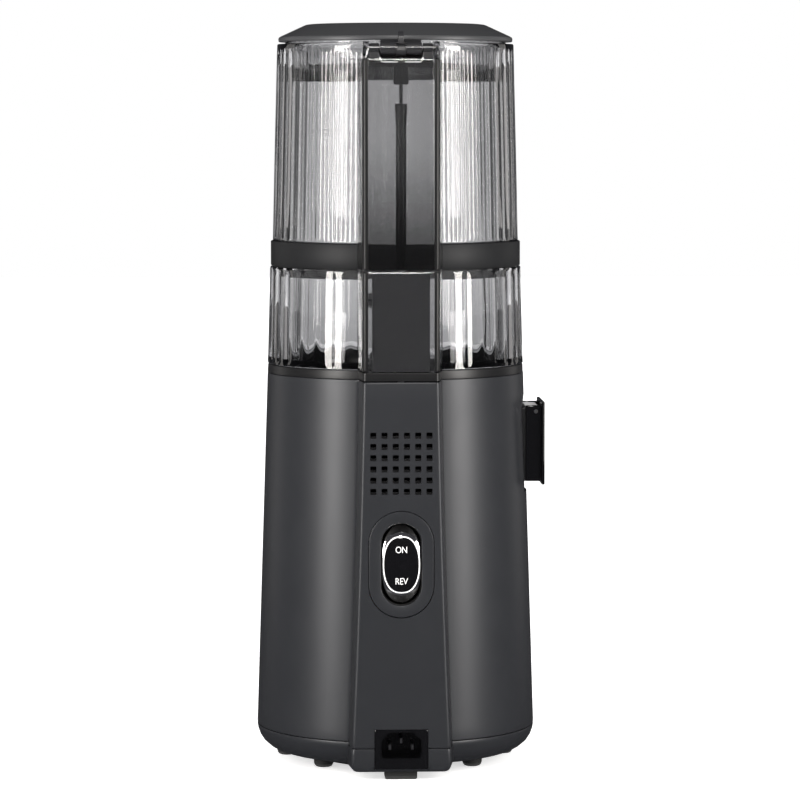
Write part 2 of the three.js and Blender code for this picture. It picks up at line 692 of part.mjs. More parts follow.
function buildOutlets(group) {
  const cup = post(CUP_R + GAP, 150, 260, 0, 0, ROUND);
  const along = (radius, half) =>
    solidOf(geometryOf(crossPin(radius, half, 0, 0)).rotateZ(Math.PI / 2).translate(CAP_PIN_U, 0, CAP_PIN_Z));
  const spout = cut(
    block(CUP_R - 0.1, SPOUT_END, -SPOUT_HALF, SPOUT_HALF, SPOUT_FOOT, SPOUT_HEAD),
    cup,
    through(NEAR, FAR, JUICE_HOLE),
    block(NEAR, 84, WALL - SPOUT_HALF, SPOUT_HALF - WALL, JUICE_HOLE.high + WALL, SPOUT_HEAD - WALL),
    along(CAP_PIN_R + 0.25, 30),
  );
  const juice = new THREE.Group();
  juice.rotation.z = JUICE_ANGLE;
  group.add(juice);
  addPiece(juice, "juice_spout", spout, darkPlastic);
  addPiece(juice, "cap_pin", along(CAP_PIN_R, CAP_HALF + 0.4), steel);

  const cheekInside = SPOUT_HALF + 0.8;
  const thick = CAP_HALF - cheekInside;
  const cheeks = [-CAP_HALF, cheekInside].map((v) =>
    block(CAP_U - CHEEK.deep, CAP_U + 0.5, v, v + thick, CAP_FOOT + CHEEK.above, CAP_HEAD - CHEEK.below),
  );
  const plate = block(CAP_U, CAP_U + CAP_THICK, -CAP_HALF - CAP_LIP, CAP_HALF + CAP_LIP, CAP_FOOT, CAP_HEAD);
  const cap = cut(join(plate, ...cheeks), along(CAP_PIN_R + 0.25, 30));
  addPiece(juice, "juice_cap", cap, glossBlack);
  const play = 1.6; // between the seal and the hole it closes
  const seal = { half: JUICE_HOLE.half - play, low: JUICE_HOLE.low + play, high: JUICE_HOLE.high - play };
  addPiece(juice, "juice_cap_seal", through(SPOUT_END - 3.2, CAP_U - GAP, seal), silicone);

  const chute = new THREE.Group();
  chute.rotation.z = PULP_ANGLE;
  group.add(chute);
  const pulp = cut(
    block(CUP_R - 0.1, PULP_END, -PULP_HALF, PULP_HALF, CHUTE.foot, CHUTE.head),
    cup,
    block(NEAR, PULP_END - WALL, WALL - PULP_HALF, PULP_HALF - WALL, CHUTE.foot + 2.5, CHUTE.head - WALL),
    block(CHUTE.drop, PULP_END - WALL, WALL - PULP_HALF, PULP_HALF - WALL, CHUTE.foot - 6, CHUTE.foot + 14),
  );
  addPiece(chute, "pulp_chute", pulp, darkPlastic);
  addPiece(chute, "pulp_packing", block(46, 68, -11, 11, BOWL_FLOOR - 3.4, BOWL_FLOOR - GAP), silicone);
}

// ---------- auger ----------
function buildLowerScrew(group) {
  const lowerCore = (z) => 54 - ((z - 182) * 18) / 52;
  const lower = turned(
    [
      [LOCATING_R, 181],
      [16, 181],
      [16, 200],
      [lowerCore(200) - 4, 200],
      [52, 181],
      [56, 181],
      [lowerCore(234), 234],
      [20, 244],
      [20, 248],
      [DRIVE_R + 5, 248],
      [DRIVE_R + 5, 216],
      [0, 216],
      [0, 205],
      [LOCATING_R, 205],
    ],
    MID,
  );
  const ribs = [0, 120, 240].map((angle) =>
    flight((z) => lowerCore(z) - 3, (z) => lowerCore(z) + 5, 186, 230, 0.42, angle * DEG, 4),
  );
  const socket = post(DRIVE_R + 0.45, 190, DRIVE_TOP + 1, 0, 0, 6);
  const hub = post(13.5, 198, 216.5, 0, 0, MID);
  addPiece(group, "lower_screw", cut(join(lower, hub, ...ribs), socket), screwPlastic);
}

function buildUpperScrew(group) {
  const core = (z) => 15 - ((z - 248) * 4) / 70;
  const upper = turned(
    [
      [0, 218],
      [DRIVE_R + 4.6, 218],
      [DRIVE_R + 4.6, 248 + GAP],
      [19, 248 + GAP],
      [core(256), 256],
      [core(316), 316],
      [7, 322],
      [0, 324],
    ],
    MID,
  );
  const thread = flight((z) => core(z) - 2, (z) => 22.5 - ((z - 254) * 2) / 60, 254, 303, 1.6, 0, 4);
  addPiece(group, "upper_screw", join(upper, thread), screwPlastic);
  const wingShape = new THREE.Shape()
    .moveTo(14.5, -4)
    .quadraticCurveTo(40, -9, 60, 4)
    .lineTo(58, 9)
    .quadraticCurveTo(38, 0, 14.5, 6)
    .closePath();
  const [low, high] = [313, 322];
  const hub = post(15.5, low, high, 0, 0, MID);
  const bore = post(core(low) + GAP, low - 1, high + 1, 0, 0, MID);
  addPiece(group, "cutting_wing", cut(join(solidOf(slab(wingShape, low, high, 5)), hub), bore), steel);
}

// ---------- hopper ----------
function buildHopper(group) {
  const spigot = { outside: BOWL_R - CLEAR_WALL - 0.6, foot: 306 };
  const lip = { outside: HOPPER_FOOT_R - CLEAR_WALL - 0.6, top: RING_TOP + 5 };
  const thick = 2.4;
  const band = turned([
    [spigot.outside - thick, spigot.foot],
    [spigot.outside, spigot.foot],
    [spigot.outside, RING_BOTTOM],
    [RING_R, RING_BOTTOM],
    [RING_R, RING_TOP],
    [lip.outside, RING_TOP],
    [lip.outside, lip.top],
    [lip.outside - thick, lip.top],
    [lip.outside - thick, RING_BOTTOM + 2],
  ]);
  addPiece(group, "hopper_ring", band, graphite);
  const wall = turned([
    [HOPPER_FOOT_R - CLEAR_WALL, RING_TOP + GAP],
    [HOPPER_FOOT_R, RING_TOP + GAP],
    [HOPPER_TOP_R, HOPPER_TOP],
    [HOPPER_TOP_R - CLEAR_WALL, HOPPER_TOP],
  ]);
  addPiece(group, "hopper_wall", wall, smokeClear);
  const outside = turned([
    [0, 290],
    [RING_R + 0.6, 290],
    [RING_R + 0.6, RING_TOP + 2],
    [HOPPER_FOOT_R + 0.6, RING_TOP + 3],
    [HOPPER_TOP_R + GAP, HOPPER_TOP + 1],
    [0, HOPPER_TOP + 1],
  ]);
  const duct = cut(spine(RING_BOTTOM, DUCT_TOP), spine(300, DUCT_TOP + 5, CLEAR_WALL), outside);
  addPiece(group, "hopper_duct", duct, smokeClear);
}

function buildHinge(group) {
  const inside = HINGE.ear - CLEAR_WALL - 1.2;
  const ear = (side) => {
    const play = 0.6;
    const middle = (side * (HINGE.knuckle + play + HINGE.ear)) / 2;
    const half = (HINGE.ear - HINGE.knuckle - play) / 2;
    return join(
      crossPin(HINGE.barrel, half, HINGE.y, HINGE.z, SMALL, middle),
      block(middle - half, middle + half, HINGE.y - 3.5, HINGE.y + 3.5, DUCT_TOP + GAP, HINGE.z),
    );
  };
  const back = reachAt(DUCT_TOP) - CLEAR_WALL - 0.6;
  const guide = block(-4.6, 4.6, ROD_Y - 4.4, back, 425, 437);
  const plate = block(-inside, inside, 77.5, back, 436.5, 440);
  const shoulder = (side) =>
    block(Math.min(side * 13.4, side * inside), Math.max(side * 13.4, side * inside), 83.5, 87.8, 439, 443);
  const bracket = cut(
    join(plate, guide, shoulder(1), shoulder(-1), ear(1), ear(-1)),
    post(1.5, 400, 446, 0, ROD_Y),
    crossPin(HINGE.pin + 0.15, 40, HINGE.y, HINGE.z),
  );
  addPiece(group, "hinge_bracket", bracket, darkPlastic);
  addPiece(group, "lid_hinge_pin", crossPin(HINGE.pin, HINGE.ear - 0.2, HINGE.y, HINGE.z), steel);
}

function buildPushRod(group) {
  const [foot, neck] = [RING_BOTTOM + 0.9 + GAP, 413];
  const rod = join(
    post(ROD_R, foot, neck - 2.5, 0, ROD_Y),
    post(ROD_R + 0.3, neck - 3, neck, 0, ROD_Y),
    post(1.1, neck - 0.5, HINGE.z - HINGE.barrel - 0.6, 0, ROD_Y),
  );
  addPiece(group, "push_rod", rod, darkPlastic);
}

// ---------- lid ----------
function buildLid(group) {
  const inside = LID_R - 4;
  const shell = turned([
    [0, LID_RIM + 4.6],
    [LID_FLAT_R - 2, LID_RIM + 4.6],
    [inside, LID_RIM - 0.6],
    [inside, LID_EDGE],
    [LID_R, LID_EDGE],
    [LID_R, LID_RIM],
    [LID_FLAT_R, TOP],
    [0, TOP],
  ]);
  addPiece(group, "lid_shell", shell, graphite);
  const skirt = { inside: inside - 2.2, outside: inside - 0.4, foot: 427, head: LID_EDGE + 0.2 };
  addPiece(group, "lid_skirt", turned(ring(skirt.inside, skirt.outside, skirt.foot, skirt.head)), smokeClear);
}

function buildLidArm(group) {
  // The middle of the knuckle is a cam. It holds the rod down while the lid is shut and lets it rise
  // as the lid opens.
  const swing = LID_SWING * DEG;
  const camAt = (turn) => HINGE.barrel - (ROD_TRAVEL * Math.min(Math.max(turn, 0), swing)) / swing;
  const cam = new THREE.Shape(
    Array.from({ length: 24 }, (_, i) => {
      const turn = (i - 6) * 15 * DEG;
      const r = camAt(turn);
      return new THREE.Vector2(r * Math.sin(turn), -r * Math.cos(turn));
    }),
  );
  const camHalf = 3;
  const sideHalf = (HINGE.knuckle - camHalf) / 2;
  const middle = solidOf(
    slab(cam, -camHalf, camHalf).rotateX(Math.PI / 2).rotateZ(Math.PI / 2).translate(0, HINGE.y, HINGE.z),
  );
  const side = (hand) =>
    crossPin(HINGE.barrel, sideHalf + 0.1, HINGE.y, HINGE.z, SMALL, hand * (camHalf + sideHalf));
  const strap = block(-HINGE.knuckle, HINGE.knuckle, 70.5, HINGE.y, HINGE.z + 4, LID_EDGE - 0.2);
  const arm = cut(
    strap,
    post(HOPPER_TOP_R + 0.8, 440, HOPPER_TOP + 0.5, 0, 0, ROUND),
    post(LID_R - 3.6, 440, 460, 0, 0, ROUND),
  );
  const tab = block(-1.5, 1.5, 80, HINGE.y + 2, HINGE.z + 3, 457.4);
  const knuckle = cut(
    join(middle, side(1), side(-1), arm, tab),
    crossPin(HINGE.pin + 0.15, 40, HINGE.y, HINGE.z),
  );
  addPiece(group, "lid_hinge_arm", knuckle, darkPlastic);
}

// ---------- assembly ----------
const juicer = new THREE.Group();
const sections = [
  [buildBaseCover, buildHousing, buildRearPanel, buildSeat, buildFeet],
  [buildSwitch, buildInlet, buildElectronics],
  [buildMotor, buildGearbox],
  [buildBowl, buildBowlDuct, buildApron, buildOutlets],
  [buildLowerScrew, buildUpperScrew],
  [buildHopper, buildHinge, buildPushRod],
  [buildLid, buildLidArm],
];
sections.forEach((builders) => {
  const section = new THREE.Group();
  builders.forEach((build) => build(section));
  juicer.add(section);
});

// The spout makes the object wider on one side, so the axis stands a little off the middle of its box.
const box = new THREE.Box3().setFromObject(juicer, true);
juicer.position.set(-(box.min.x + box.max.x) / 2, -(box.min.y + box.max.y) / 2, 0);

const part = new THREE.Group();
part.add(juicer);

export default part;
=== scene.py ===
"""Looks of the upright slow juicer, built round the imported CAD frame.

Sizes below are millimetres from the juicer's own axis on the worktop, as in the CAD source, and place()
turns them into the frame's metres. +Z is up, the spine is at +Y and the juice spout at -X.
"""

import math
import random

import bmesh
import bpy
from mathutils import Matrix, Vector


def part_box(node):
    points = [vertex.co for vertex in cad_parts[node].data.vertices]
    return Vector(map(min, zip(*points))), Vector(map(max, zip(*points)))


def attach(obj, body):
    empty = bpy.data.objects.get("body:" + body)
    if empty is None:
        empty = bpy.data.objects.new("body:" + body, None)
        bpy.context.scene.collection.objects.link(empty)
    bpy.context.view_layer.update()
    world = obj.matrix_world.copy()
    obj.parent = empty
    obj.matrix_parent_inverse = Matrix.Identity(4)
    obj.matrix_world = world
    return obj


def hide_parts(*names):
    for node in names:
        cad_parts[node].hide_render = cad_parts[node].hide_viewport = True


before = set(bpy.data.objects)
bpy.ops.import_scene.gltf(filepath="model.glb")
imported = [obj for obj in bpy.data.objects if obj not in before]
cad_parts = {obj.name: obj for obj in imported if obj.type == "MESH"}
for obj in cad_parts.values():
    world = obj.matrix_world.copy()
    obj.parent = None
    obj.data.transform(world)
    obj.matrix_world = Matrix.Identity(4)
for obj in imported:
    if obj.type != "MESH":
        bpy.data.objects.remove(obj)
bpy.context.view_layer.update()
random.seed(7)

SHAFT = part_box("output_shaft")
AXIS_X = (SHAFT[0].x + SHAFT[1].x) / 2
AXIS_Y = (SHAFT[0].y + SHAFT[1].y) / 2
MM = 0.001

# ---------- sizes shared with the CAD ----------
SEAM_Z, SPINE_SEAM_Z = 22.0, 20.0
HOUSING_TOP = 245.0
BOWL_TOP, RING_BOTTOM = 311.8, 312.6
NECK_R, BODY_R = 80.8, 87.8
CUT_FROM, CUT_TO, CUT_Z = 165.5, 322.0, 170.0
DRAFT = math.tan(math.radians(7))
JUICE_ANGLE, PULP_ANGLE = 180.0, 300.0
SPOUT_HALF, SPOUT_FOOT, SPOUT_HEAD, SPOUT_END = 17.0, 176.5, 223.2, 89.8
CAP_U, CAP_HALF, CAP_FOOT, CAP_HEAD = 91.3, 22.0, 174.6, 227.0  # the cap's plate, along and across the spout
CAP_PIN_U, CAP_PIN_Z, CAP_PIN_R = 87.8, 220.8, 1.4
CHEEK_U, CHEEK_FOOT, CHEEK_HEAD = 81.3, 176.7, 224.6
CHUTE_HALF, CHUTE_FOOT, CHUTE_HEAD, CHUTE_END = 20.0, 176.0, 212.0, 100.46
CUP_R = 74.9  # clear of the bowl's lower cup
SWITCH_Z = 133.3
VENT_PITCH, VENT_HALF, VENT_MIDDLE = 6.85, 1.85, 195.1
INLET_FACE, INLET_HALF, INLET_LOW, INLET_HIGH = 97.4, 16.2, 7.4, 31.6
REACH, REACH_LOSS = 97.0, 2 / 450  # how far the spine stands back, and what it loses per millimetre of height
DUCT_HALF, FLARE_SLOPE, FLARE_CURVE = 23.2, 0.0175, 0.000061  # half the spine's width, wider towards its foot
PIN_BORE = 2.5  # hole the interlock plunger slides in
CAM_R, CAM_DROP, LID_SWING = 4.5, 2.0, 95.0  # the lid's cam lets the push rod rise as the lid opens
HINGE_Y, HINGE_Z = 88.5, 447.0


def cone(z):
    return NECK_R + (HOUSING_TOP - z) * (BODY_R - NECK_R) / (HOUSING_TOP - SEAM_Z)


def reach(z):
    return REACH - z * REACH_LOSS


def half(z):
    down = max(0.0, HOUSING_TOP - z)
    return DUCT_HALF + FLARE_SLOPE * down + FLARE_CURVE * down * down


def place(x, y, z):
    return Vector((x * MM + AXIS_X, y * MM + AXIS_Y, z * MM))


def polar(radius, degrees):
    a = math.radians(degrees)
    return radius * math.cos(a), radius * math.sin(a)


# ---------- materials ----------
def material(name, color, roughness, metallic=0.0, **more):
    """A principled material with mottling in its colour and gloss and a fine grain in its surface."""
    m = bpy.data.materials.new(name)
    m.use_nodes = True
    tree = m.node_tree
    link = tree.links.new
    bsdf = tree.nodes["Principled BSDF"]
    bsdf.inputs["Metallic"].default_value = metallic
    bsdf.inputs["Specular IOR Level"].default_value = more.get("shine", 0.5)
    bsdf.inputs["IOR"].default_value = more.get("ior", 1.5)
    bsdf.inputs["Transmission Weight"].default_value = more.get("clear", 0.0)
    bsdf.inputs["Coat Weight"].default_value = more.get("coat", 0.0)
    bsdf.inputs["Coat Roughness"].default_value = more.get("coat_rough", 0.1)
    where = tree.nodes.new("ShaderNodeTexCoord")
    noise = tree.nodes.new("ShaderNodeTexNoise")
    noise.inputs["Scale"].default_value = more.get("mottle_scale", 60)
    noise.inputs["Detail"].default_value = 3
    link(where.outputs["Object"], noise.inputs["Vector"])
    tint = tree.nodes.new("ShaderNodeMixRGB")
    spread = more.get("mottle", 0.06)
    tint.inputs["Color1"].default_value = (*[c * (1 - spread) for c in color], 1)
    tint.inputs["Color2"].default_value = (*[min(1, c * (1 + spread)) for c in color], 1)
    link(noise.outputs["Fac"], tint.inputs["Fac"])
    link(tint.outputs["Color"], bsdf.inputs["Base Color"])
    rough = tree.nodes.new("ShaderNodeMapRange")
    rough.inputs["To Min"].default_value = roughness * 0.93
    rough.inputs["To Max"].default_value = min(1.0, roughness * 1.07)
    link(noise.outputs["Fac"], rough.inputs["Value"])
    link(rough.outputs["Result"], bsdf.inputs["Roughness"])
    if more.get("grain"):
        fine = tree.nodes.new("ShaderNodeTexNoise")
        fine.inputs["Scale"].default_value = more.get("grain_scale", 2500)
        link(where.outputs["Object"], fine.inputs["Vector"])
        bump = tree.nodes.new("ShaderNodeBump")
        bump.inputs["Strength"].default_value = more["grain"]
        bump.inputs["Distance"].default_value = 0.0001
        link(fine.outputs["Fac"], bump.inputs["Height"])
        link(bump.outputs["Normal"], bsdf.inputs["Normal"])
    if more.get("absorb"):
        volume = tree.nodes.new("ShaderNodeVolumeAbsorption")
        volume.inputs["Color"].default_value = (*more["absorb_color"], 1)
        volume.inputs["Density"].default_value = more["absorb"]
        link(volume.outputs["Volume"], tree.nodes["Material Output"].inputs["Volume"])
    return m


def paint_shade_by_height(look, low, high, dark, light):
    """Paints shade into a material's colour: darker towards the lower of two heights, in metres."""
    tree = look.node_tree
    bsdf = tree.nodes["Principled BSDF"]
    where = tree.nodes.new("ShaderNodeTexCoord")
    split = tree.nodes.new("ShaderNodeSeparateXYZ")
    tree.links.new(where.outputs["Object"], split.inputs["Vector"])
    ramp = tree.nodes.new("ShaderNodeMapRange")
    ramp.interpolation_type = "SMOOTHSTEP"
    for name, value in (("From Min", low), ("From Max", high), ("To Min", dark), ("To Max", light)):
        ramp.inputs[name].default_value = value
    tree.links.new(split.outputs["Z"], ramp.inputs["Value"])
    tree.links.new(ramp.outputs["Result"], bsdf.inputs["Base Color"])


GREY = (0.5, 0.5, 0.515)
GRAPHITE = material("graphite_paint", (0.0185, 0.0196, 0.0228), 0.39, 0.3, grain=0.12, shine=0.45)
LID_PAINT = material("lid_paint", (0.048, 0.049, 0.052), 0.42, 0.3, grain=0.12, shine=0.4)
RING_PAINT = material("ring_paint", (0.01, 0.0104, 0.0115), 0.5, 0.2, grain=0.12, shine=0.25)
DARK = material("dark_plastic", (0.016, 0.016, 0.018), 0.38, grain=0.15)
GLOSS = material("gloss_black", (0.0025, 0.0025, 0.003), 0.1, coat=0.2)
COLLAR = material("collar_black", (0.006, 0.006, 0.0065), 0.34, grain=0.1, shine=0.3)
# Near-black painted shade, for sheets set in recesses and behind openings.
PAINTED_SHADE_BLACK = material("painted_shade_black", (0.002, 0.002, 0.002), 0.6)
CLEAR = material(
    "smoked_clear", (0.97, 0.97, 0.97), 0.015, clear=1.0, ior=1.49, mottle=0.01,
    absorb=265, absorb_color=GREY, shine=0.08
)
CLEAR_DARK = material(
    "smoked_clear_deep", (0.97, 0.97, 0.97), 0.03, clear=1.0, ior=1.49, mottle=0.01,
    absorb=330, absorb_color=GREY, shine=0.2
)
DUCT = material(
    "smoked_duct", (0.6, 0.6, 0.61), 0.06, clear=1.0, ior=1.49, mottle=0.03, absorb=185, absorb_color=GREY,
    shine=0.3,
)
CHROME = material("chrome", (0.86, 0.86, 0.87), 0.07, 1.0, mottle=0.02)
STEEL = material("steel", (0.45, 0.45, 0.46), 0.28, 1.0, grain=0.2, grain_scale=900)
RUBBER = material("black_rubber", (0.011, 0.011, 0.011), 0.75, grain=0.3)
SILICONE = material("grey_silicone", (0.2, 0.2, 0.21), 0.6, grain=0.15)
SCREW = material("screw_plastic", (0.02, 0.02, 0.022), 0.35, grain=0.12)
COPPER = material(
    "copper_windings", (0.45, 0.14, 0.05), 0.35, 1.0, mottle=0.25, mottle_scale=600, grain=0.8,
)
NYLON = material("white_nylon", (0.72, 0.69, 0.62), 0.45, grain=0.1)
BOARD = material("green_board", (0.012, 0.1, 0.035), 0.35, mottle=0.3, mottle_scale=300)
# Painted light: a much lighter copy of the ring's dark paint, for the ring's part behind the duct, so it
# doesn't render as dark as its shade.
BRIDGE_PAINTED_LIGHT = material("bridge_painted_light", (0.13, 0.13, 0.135), 0.45, grain=0.12)
# Painted highlight: a pale paint for the spout's glossy top, standing in for the light it catches.
TOP_HIGHLIGHT_PAINT = material("painted_top_highlight", (0.62, 0.62, 0.63), 0.5, grain=0.1)
WHITE_INK = material("white_ink", (0.75, 0.75, 0.75), 0.5)
SATIN = material("satin_rim", (0.8, 0.8, 0.81), 0.3, mottle=0.02)


# ---------- making pieces ----------
def piece(name, bm, look, body, replaces=(), smooth=30, bevel=0.0, bevel_angle=35, thick=0.0, segments=2):
    """Turns a bmesh into a named piece that rides a body and stands for CAD nodes."""
    bmesh.ops.remove_doubles(bm, verts=bm.verts, dist=2e-6)
    if not thick:
        bmesh.ops.recalc_face_normals(bm, faces=bm.faces)
    mesh = bpy.data.meshes.new(name)
    bm.to_mesh(mesh)
    bm.free()
    mesh.materials.append(look)
    mesh.shade_smooth()
    mesh.set_sharp_from_angle(angle=math.radians(smooth))
    obj = bpy.data.objects.new(name, mesh)
    bpy.context.scene.collection.objects.link(obj)
    if thick:
        wall = obj.modifiers.new("wall", "SOLIDIFY")
        wall.thickness = thick * MM
        wall.offset = -1
        wall.use_even_offset = True
    if bevel:
        edge = obj.modifiers.new("edge", "BEVEL")
        edge.width = bevel * MM
        edge.segments = segments
        edge.limit_method = "ANGLE"
        edge.angle_limit = math.radians(bevel_angle)
        edge.harden_normals = False
    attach(obj, body)
    if replaces:
        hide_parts(*replaces)
    return obj


def grid(rings, closed=False, loop=False, caps=False, skip=None):
    """A bmesh from rings of points. closed joins each ring's ends; loop joins the last ring to the first."""
    bm = bmesh.new()
    rows = [[bm.verts.new(place(*p)) for p in ring] for ring in rings]
    count = len(rows[0])
    for i in range(len(rows) if loop else len(rows) - 1):
        a, b = rows[i], rows[(i + 1) % len(rows)]
        for k in range(count if closed else count - 1):
            if skip and skip(i, k):
                continue
            n = (k + 1) % count
            quad = [a[k], a[n], b[n], b[k]]
            if len({tuple(round(c, 9) for c in v.co) for v in quad}) >= 3:
                bm.faces.new(quad)
    if caps and not loop:
        bm.faces.new(rows[0])
        bm.faces.new(rows[-1])
    if loop and not closed:
        bm.faces.new([row[0] for row in rows])
        bm.faces.new([row[-1] for row in rows])
    return bm


def lathe(profile, start=0.0, stop=360.0, count=180, wave=None):
    """Turns a closed [radius, height] profile. wave(angle, index) adds to the radius at a profile point."""
    closed = stop - start >= 360
    angles = [start + (stop - start) * k / (count if closed else count - 1) for k in range(count)]
    rings = []
    for i, (r, z) in enumerate(profile):
        rings.append([(*polar(r + (wave(a, i) if wave else 0.0), a), z) for a in angles])
    return grid(rings, closed=closed, loop=True)


def fillet(points, radius, steps=4):
    """Rounds the corners of a closed 2D outline. radius is one number or one for each corner."""
    out = []
    count = len(points)
    for i, p in enumerate(points):
        r = radius if isinstance(radius, (int, float)) else radius[i]
        here = Vector(p)
        before, after = Vector(points[i - 1]), Vector(points[(i + 1) % count])
        u, v = (before - here), (after - here)
        reach_in = min(r, u.length * 0.48, v.length * 0.48)
        if r <= 0 or reach_in <= 0:
            out.append(tuple(here))
            continue
        a, b = here + u.normalized() * reach_in, here + v.normalized() * reach_in
        for k in range(steps + 1):
            t = k / steps
            out.append(tuple(a * (1 - t) ** 2 + here * 2 * t * (1 - t) + b * t * t))
    return out


def box(x0, x1, y0, y1, z0, z1, turn=0.0):
    bm = bmesh.new()
    bmesh.ops.create_cube(bm, size=1)
    for v in bm.verts:
        x = x0 + (v.co.x + 0.5) * (x1 - x0)
        y = y0 + (v.co.y + 0.5) * (y1 - y0)
        z = z0 + (v.co.z + 0.5) * (z1 - z0)
        radius, angle = math.hypot(x, y), math.degrees(math.atan2(y, x)) + turn
        v.co = place(*polar(radius, angle), z)
    return bm


def merge(*parts):
    """One bmesh from several closed ones."""
    out = bmesh.new()
    for part in parts:
        scratch = bpy.data.meshes.new("scratch")
        part.to_mesh(scratch)
        part.free()
        out.from_mesh(scratch)
        bpy.data.meshes.remove(scratch)
    return out


def rod(profile, x, y, count=48):
    """A turned solid on a vertical axis through x, y from a [radius, height] profile."""
    rings = []
    for r, z in profile:
        rings.append(
            [(x + polar(r, 360 * k / count)[0], y + polar(r, 360 * k / count)[1], z) for k in range(count)]
        )
    return grid(rings, closed=True, caps=True)


def bar(radius, x0, x1, y, z, count=32, edge=0.4):
    """A round bar along X with eased ends."""
    rings = []
    for x, r in [(x0, radius - edge), (x0 + edge, radius), (x1 - edge, radius), (x1, radius - edge)]:
        circle = [polar(r, 360 * k / count) for k in range(count)]
        rings.append([(x, y + dy, z + dz) for dy, dz in circle])
    return grid(rings, closed=True, caps=True)


def wire(start, stop, radius, count=12):
    """A straight wire between two points that share one depth."""
    a, b = Vector(start), Vector(stop)
    along = (b - a).normalized()
    side = along.cross(Vector((0, 1, 0))).normalized()
    rings = []
    for end in (a, b):
        turn = [(polar(radius, 360 * k / count)) for k in range(count)]
        rings.append([tuple(end + side * u + Vector((0, 1, 0)) * v) for u, v in turn])
    return grid(rings, closed=True, caps=True)


def boolean(target, cutter_bm, name, operation="DIFFERENCE"):
    """Cuts a piece once, in rest position, and keeps only the result."""
    mesh = bpy.data.meshes.new(name)
    bmesh.ops.recalc_face_normals(cutter_bm, faces=cutter_bm.faces)
    cutter_bm.to_mesh(mesh)
    cutter_bm.free()
    tool = bpy.data.objects.new(name, mesh)
    bpy.context.scene.collection.objects.link(tool)
    cut = target.modifiers.new("cut", "BOOLEAN")
    cut.object = tool
    cut.operation = operation
    cut.solver = "EXACT"
    stack = [m for m in target.modifiers if m.type == "BEVEL"]
    kept = [(m.width, m.segments, m.angle_limit) for m in stack]
    for m in stack:
        target.modifiers.remove(m)
    bpy.context.view_layer.update()
    graph = bpy.context.evaluated_depsgraph_get()
    made = bpy.data.meshes.new_from_object(target.evaluated_get(graph))
    target.modifiers.clear()
    old = target.data
    target.data = made
    made.name = old.name + "_cut"
    bpy.data.meshes.remove(old)
    bpy.data.objects.remove(tool)
    bpy.data.meshes.remove(mesh)
    made.shade_smooth()
    made.set_sharp_from_angle(angle=math.radians(30))
    for width, segments, angle in kept:
        edge = target.modifiers.new("edge", "BEVEL")
        edge.width, edge.segments, edge.limit_method, edge.angle_limit = width, segments, "ANGLE", angle
    return target


def racetrack(half_width, half_height, middle=0.0, count=24):
    """(x, z) points of an upright stadium."""
    straight = half_height - half_width
    points = []
    for side, centre in ((0, middle + straight), (180, middle - straight)):
        for k in range(count + 1):
            x, z = polar(half_width, side + 180 * k / count)
            points.append((x, centre + z))
    return points


def oval(half_width, half_height, middle, count=72):
    """A fuller oval than an ellipse, nearly straight at its sides."""
    points = []
    for k in range(count):
        c, s = polar(1, 360 * k / count)
        x = half_width * math.copysign(abs(c) ** 0.8, c)
        z = middle + half_height * math.copysign(abs(s) ** 0.9, s)
        points.append((x, z))
    return points


def rectangle(x0, x1, z0, z1):
    return [(x0, z0), (x1, z0), (x1, z1), (x0, z1)]


def upright(levels):
    """A closed solid facing +Y from a list of (outline of (x, z) points, y)."""
    return grid([[(x, y, z) for x, z in outline] for outline, y in levels], closed=True, caps=True)


# ---------- the outline of the round body joined to the spine ----------
def junction(z, radius, inset=0.0):
    """Angle in degrees from +Y where the spine's side meets a circle."""
    c = half(z) - inset + (reach(z) - inset) * DRAFT
    square = 1 + DRAFT**2
    y = (c * DRAFT + math.sqrt(c * c * DRAFT**2 - square * (c * c - radius * radius))) / square
    return math.degrees(math.atan2(c - DRAFT * y, y))


def spine_path(z, front, inset=0.0, corner=2.6, steps=6, sink=0.0):
    """(x, y) points round the spine, from its front edge at +X to the one at -X."""
    h, b = half(z) - inset, reach(z) - inset - sink
    right = [(h + (b - front) * DRAFT, front), (h + (b - front) * DRAFT * 0.5, (b + front) / 2)]
    for k in range(steps + 1):
        t = k / steps
        p0, p1, p2 = Vector((h + corner * DRAFT, b - corner)), Vector((h, b)), Vector((h - corner, b))
        right.append(tuple(p0 * (1 - t) ** 2 + p1 * 2 * t * (1 - t) + p2 * t * t))
    middle = [((h - corner) * (1 - 2 * k / 8), b) for k in range(1, 8)]
    return right + middle + [(-x, y) for x, y in reversed(right)]


def joined_path(z, radius, start, stop, inset=0.0, count=72, corner=2.6, sink=0.0):
    """(x, y) points round the body and its spine, anticlockwise from start to stop in degrees from +X."""
    meet = junction(z, radius, inset)
    y = polar(radius, 90 - meet)[1]
    spine = spine_path(z, y, inset, corner, sink=sink)
    right = [polar(radius, start + (90 - meet - start) * k / count) for k in range(count)]
    left = [polar(radius, 90 + meet + (stop - 90 - meet) * k / (count * 2)) for k in range(1, count * 2 + 1)]
    return right + spine + left


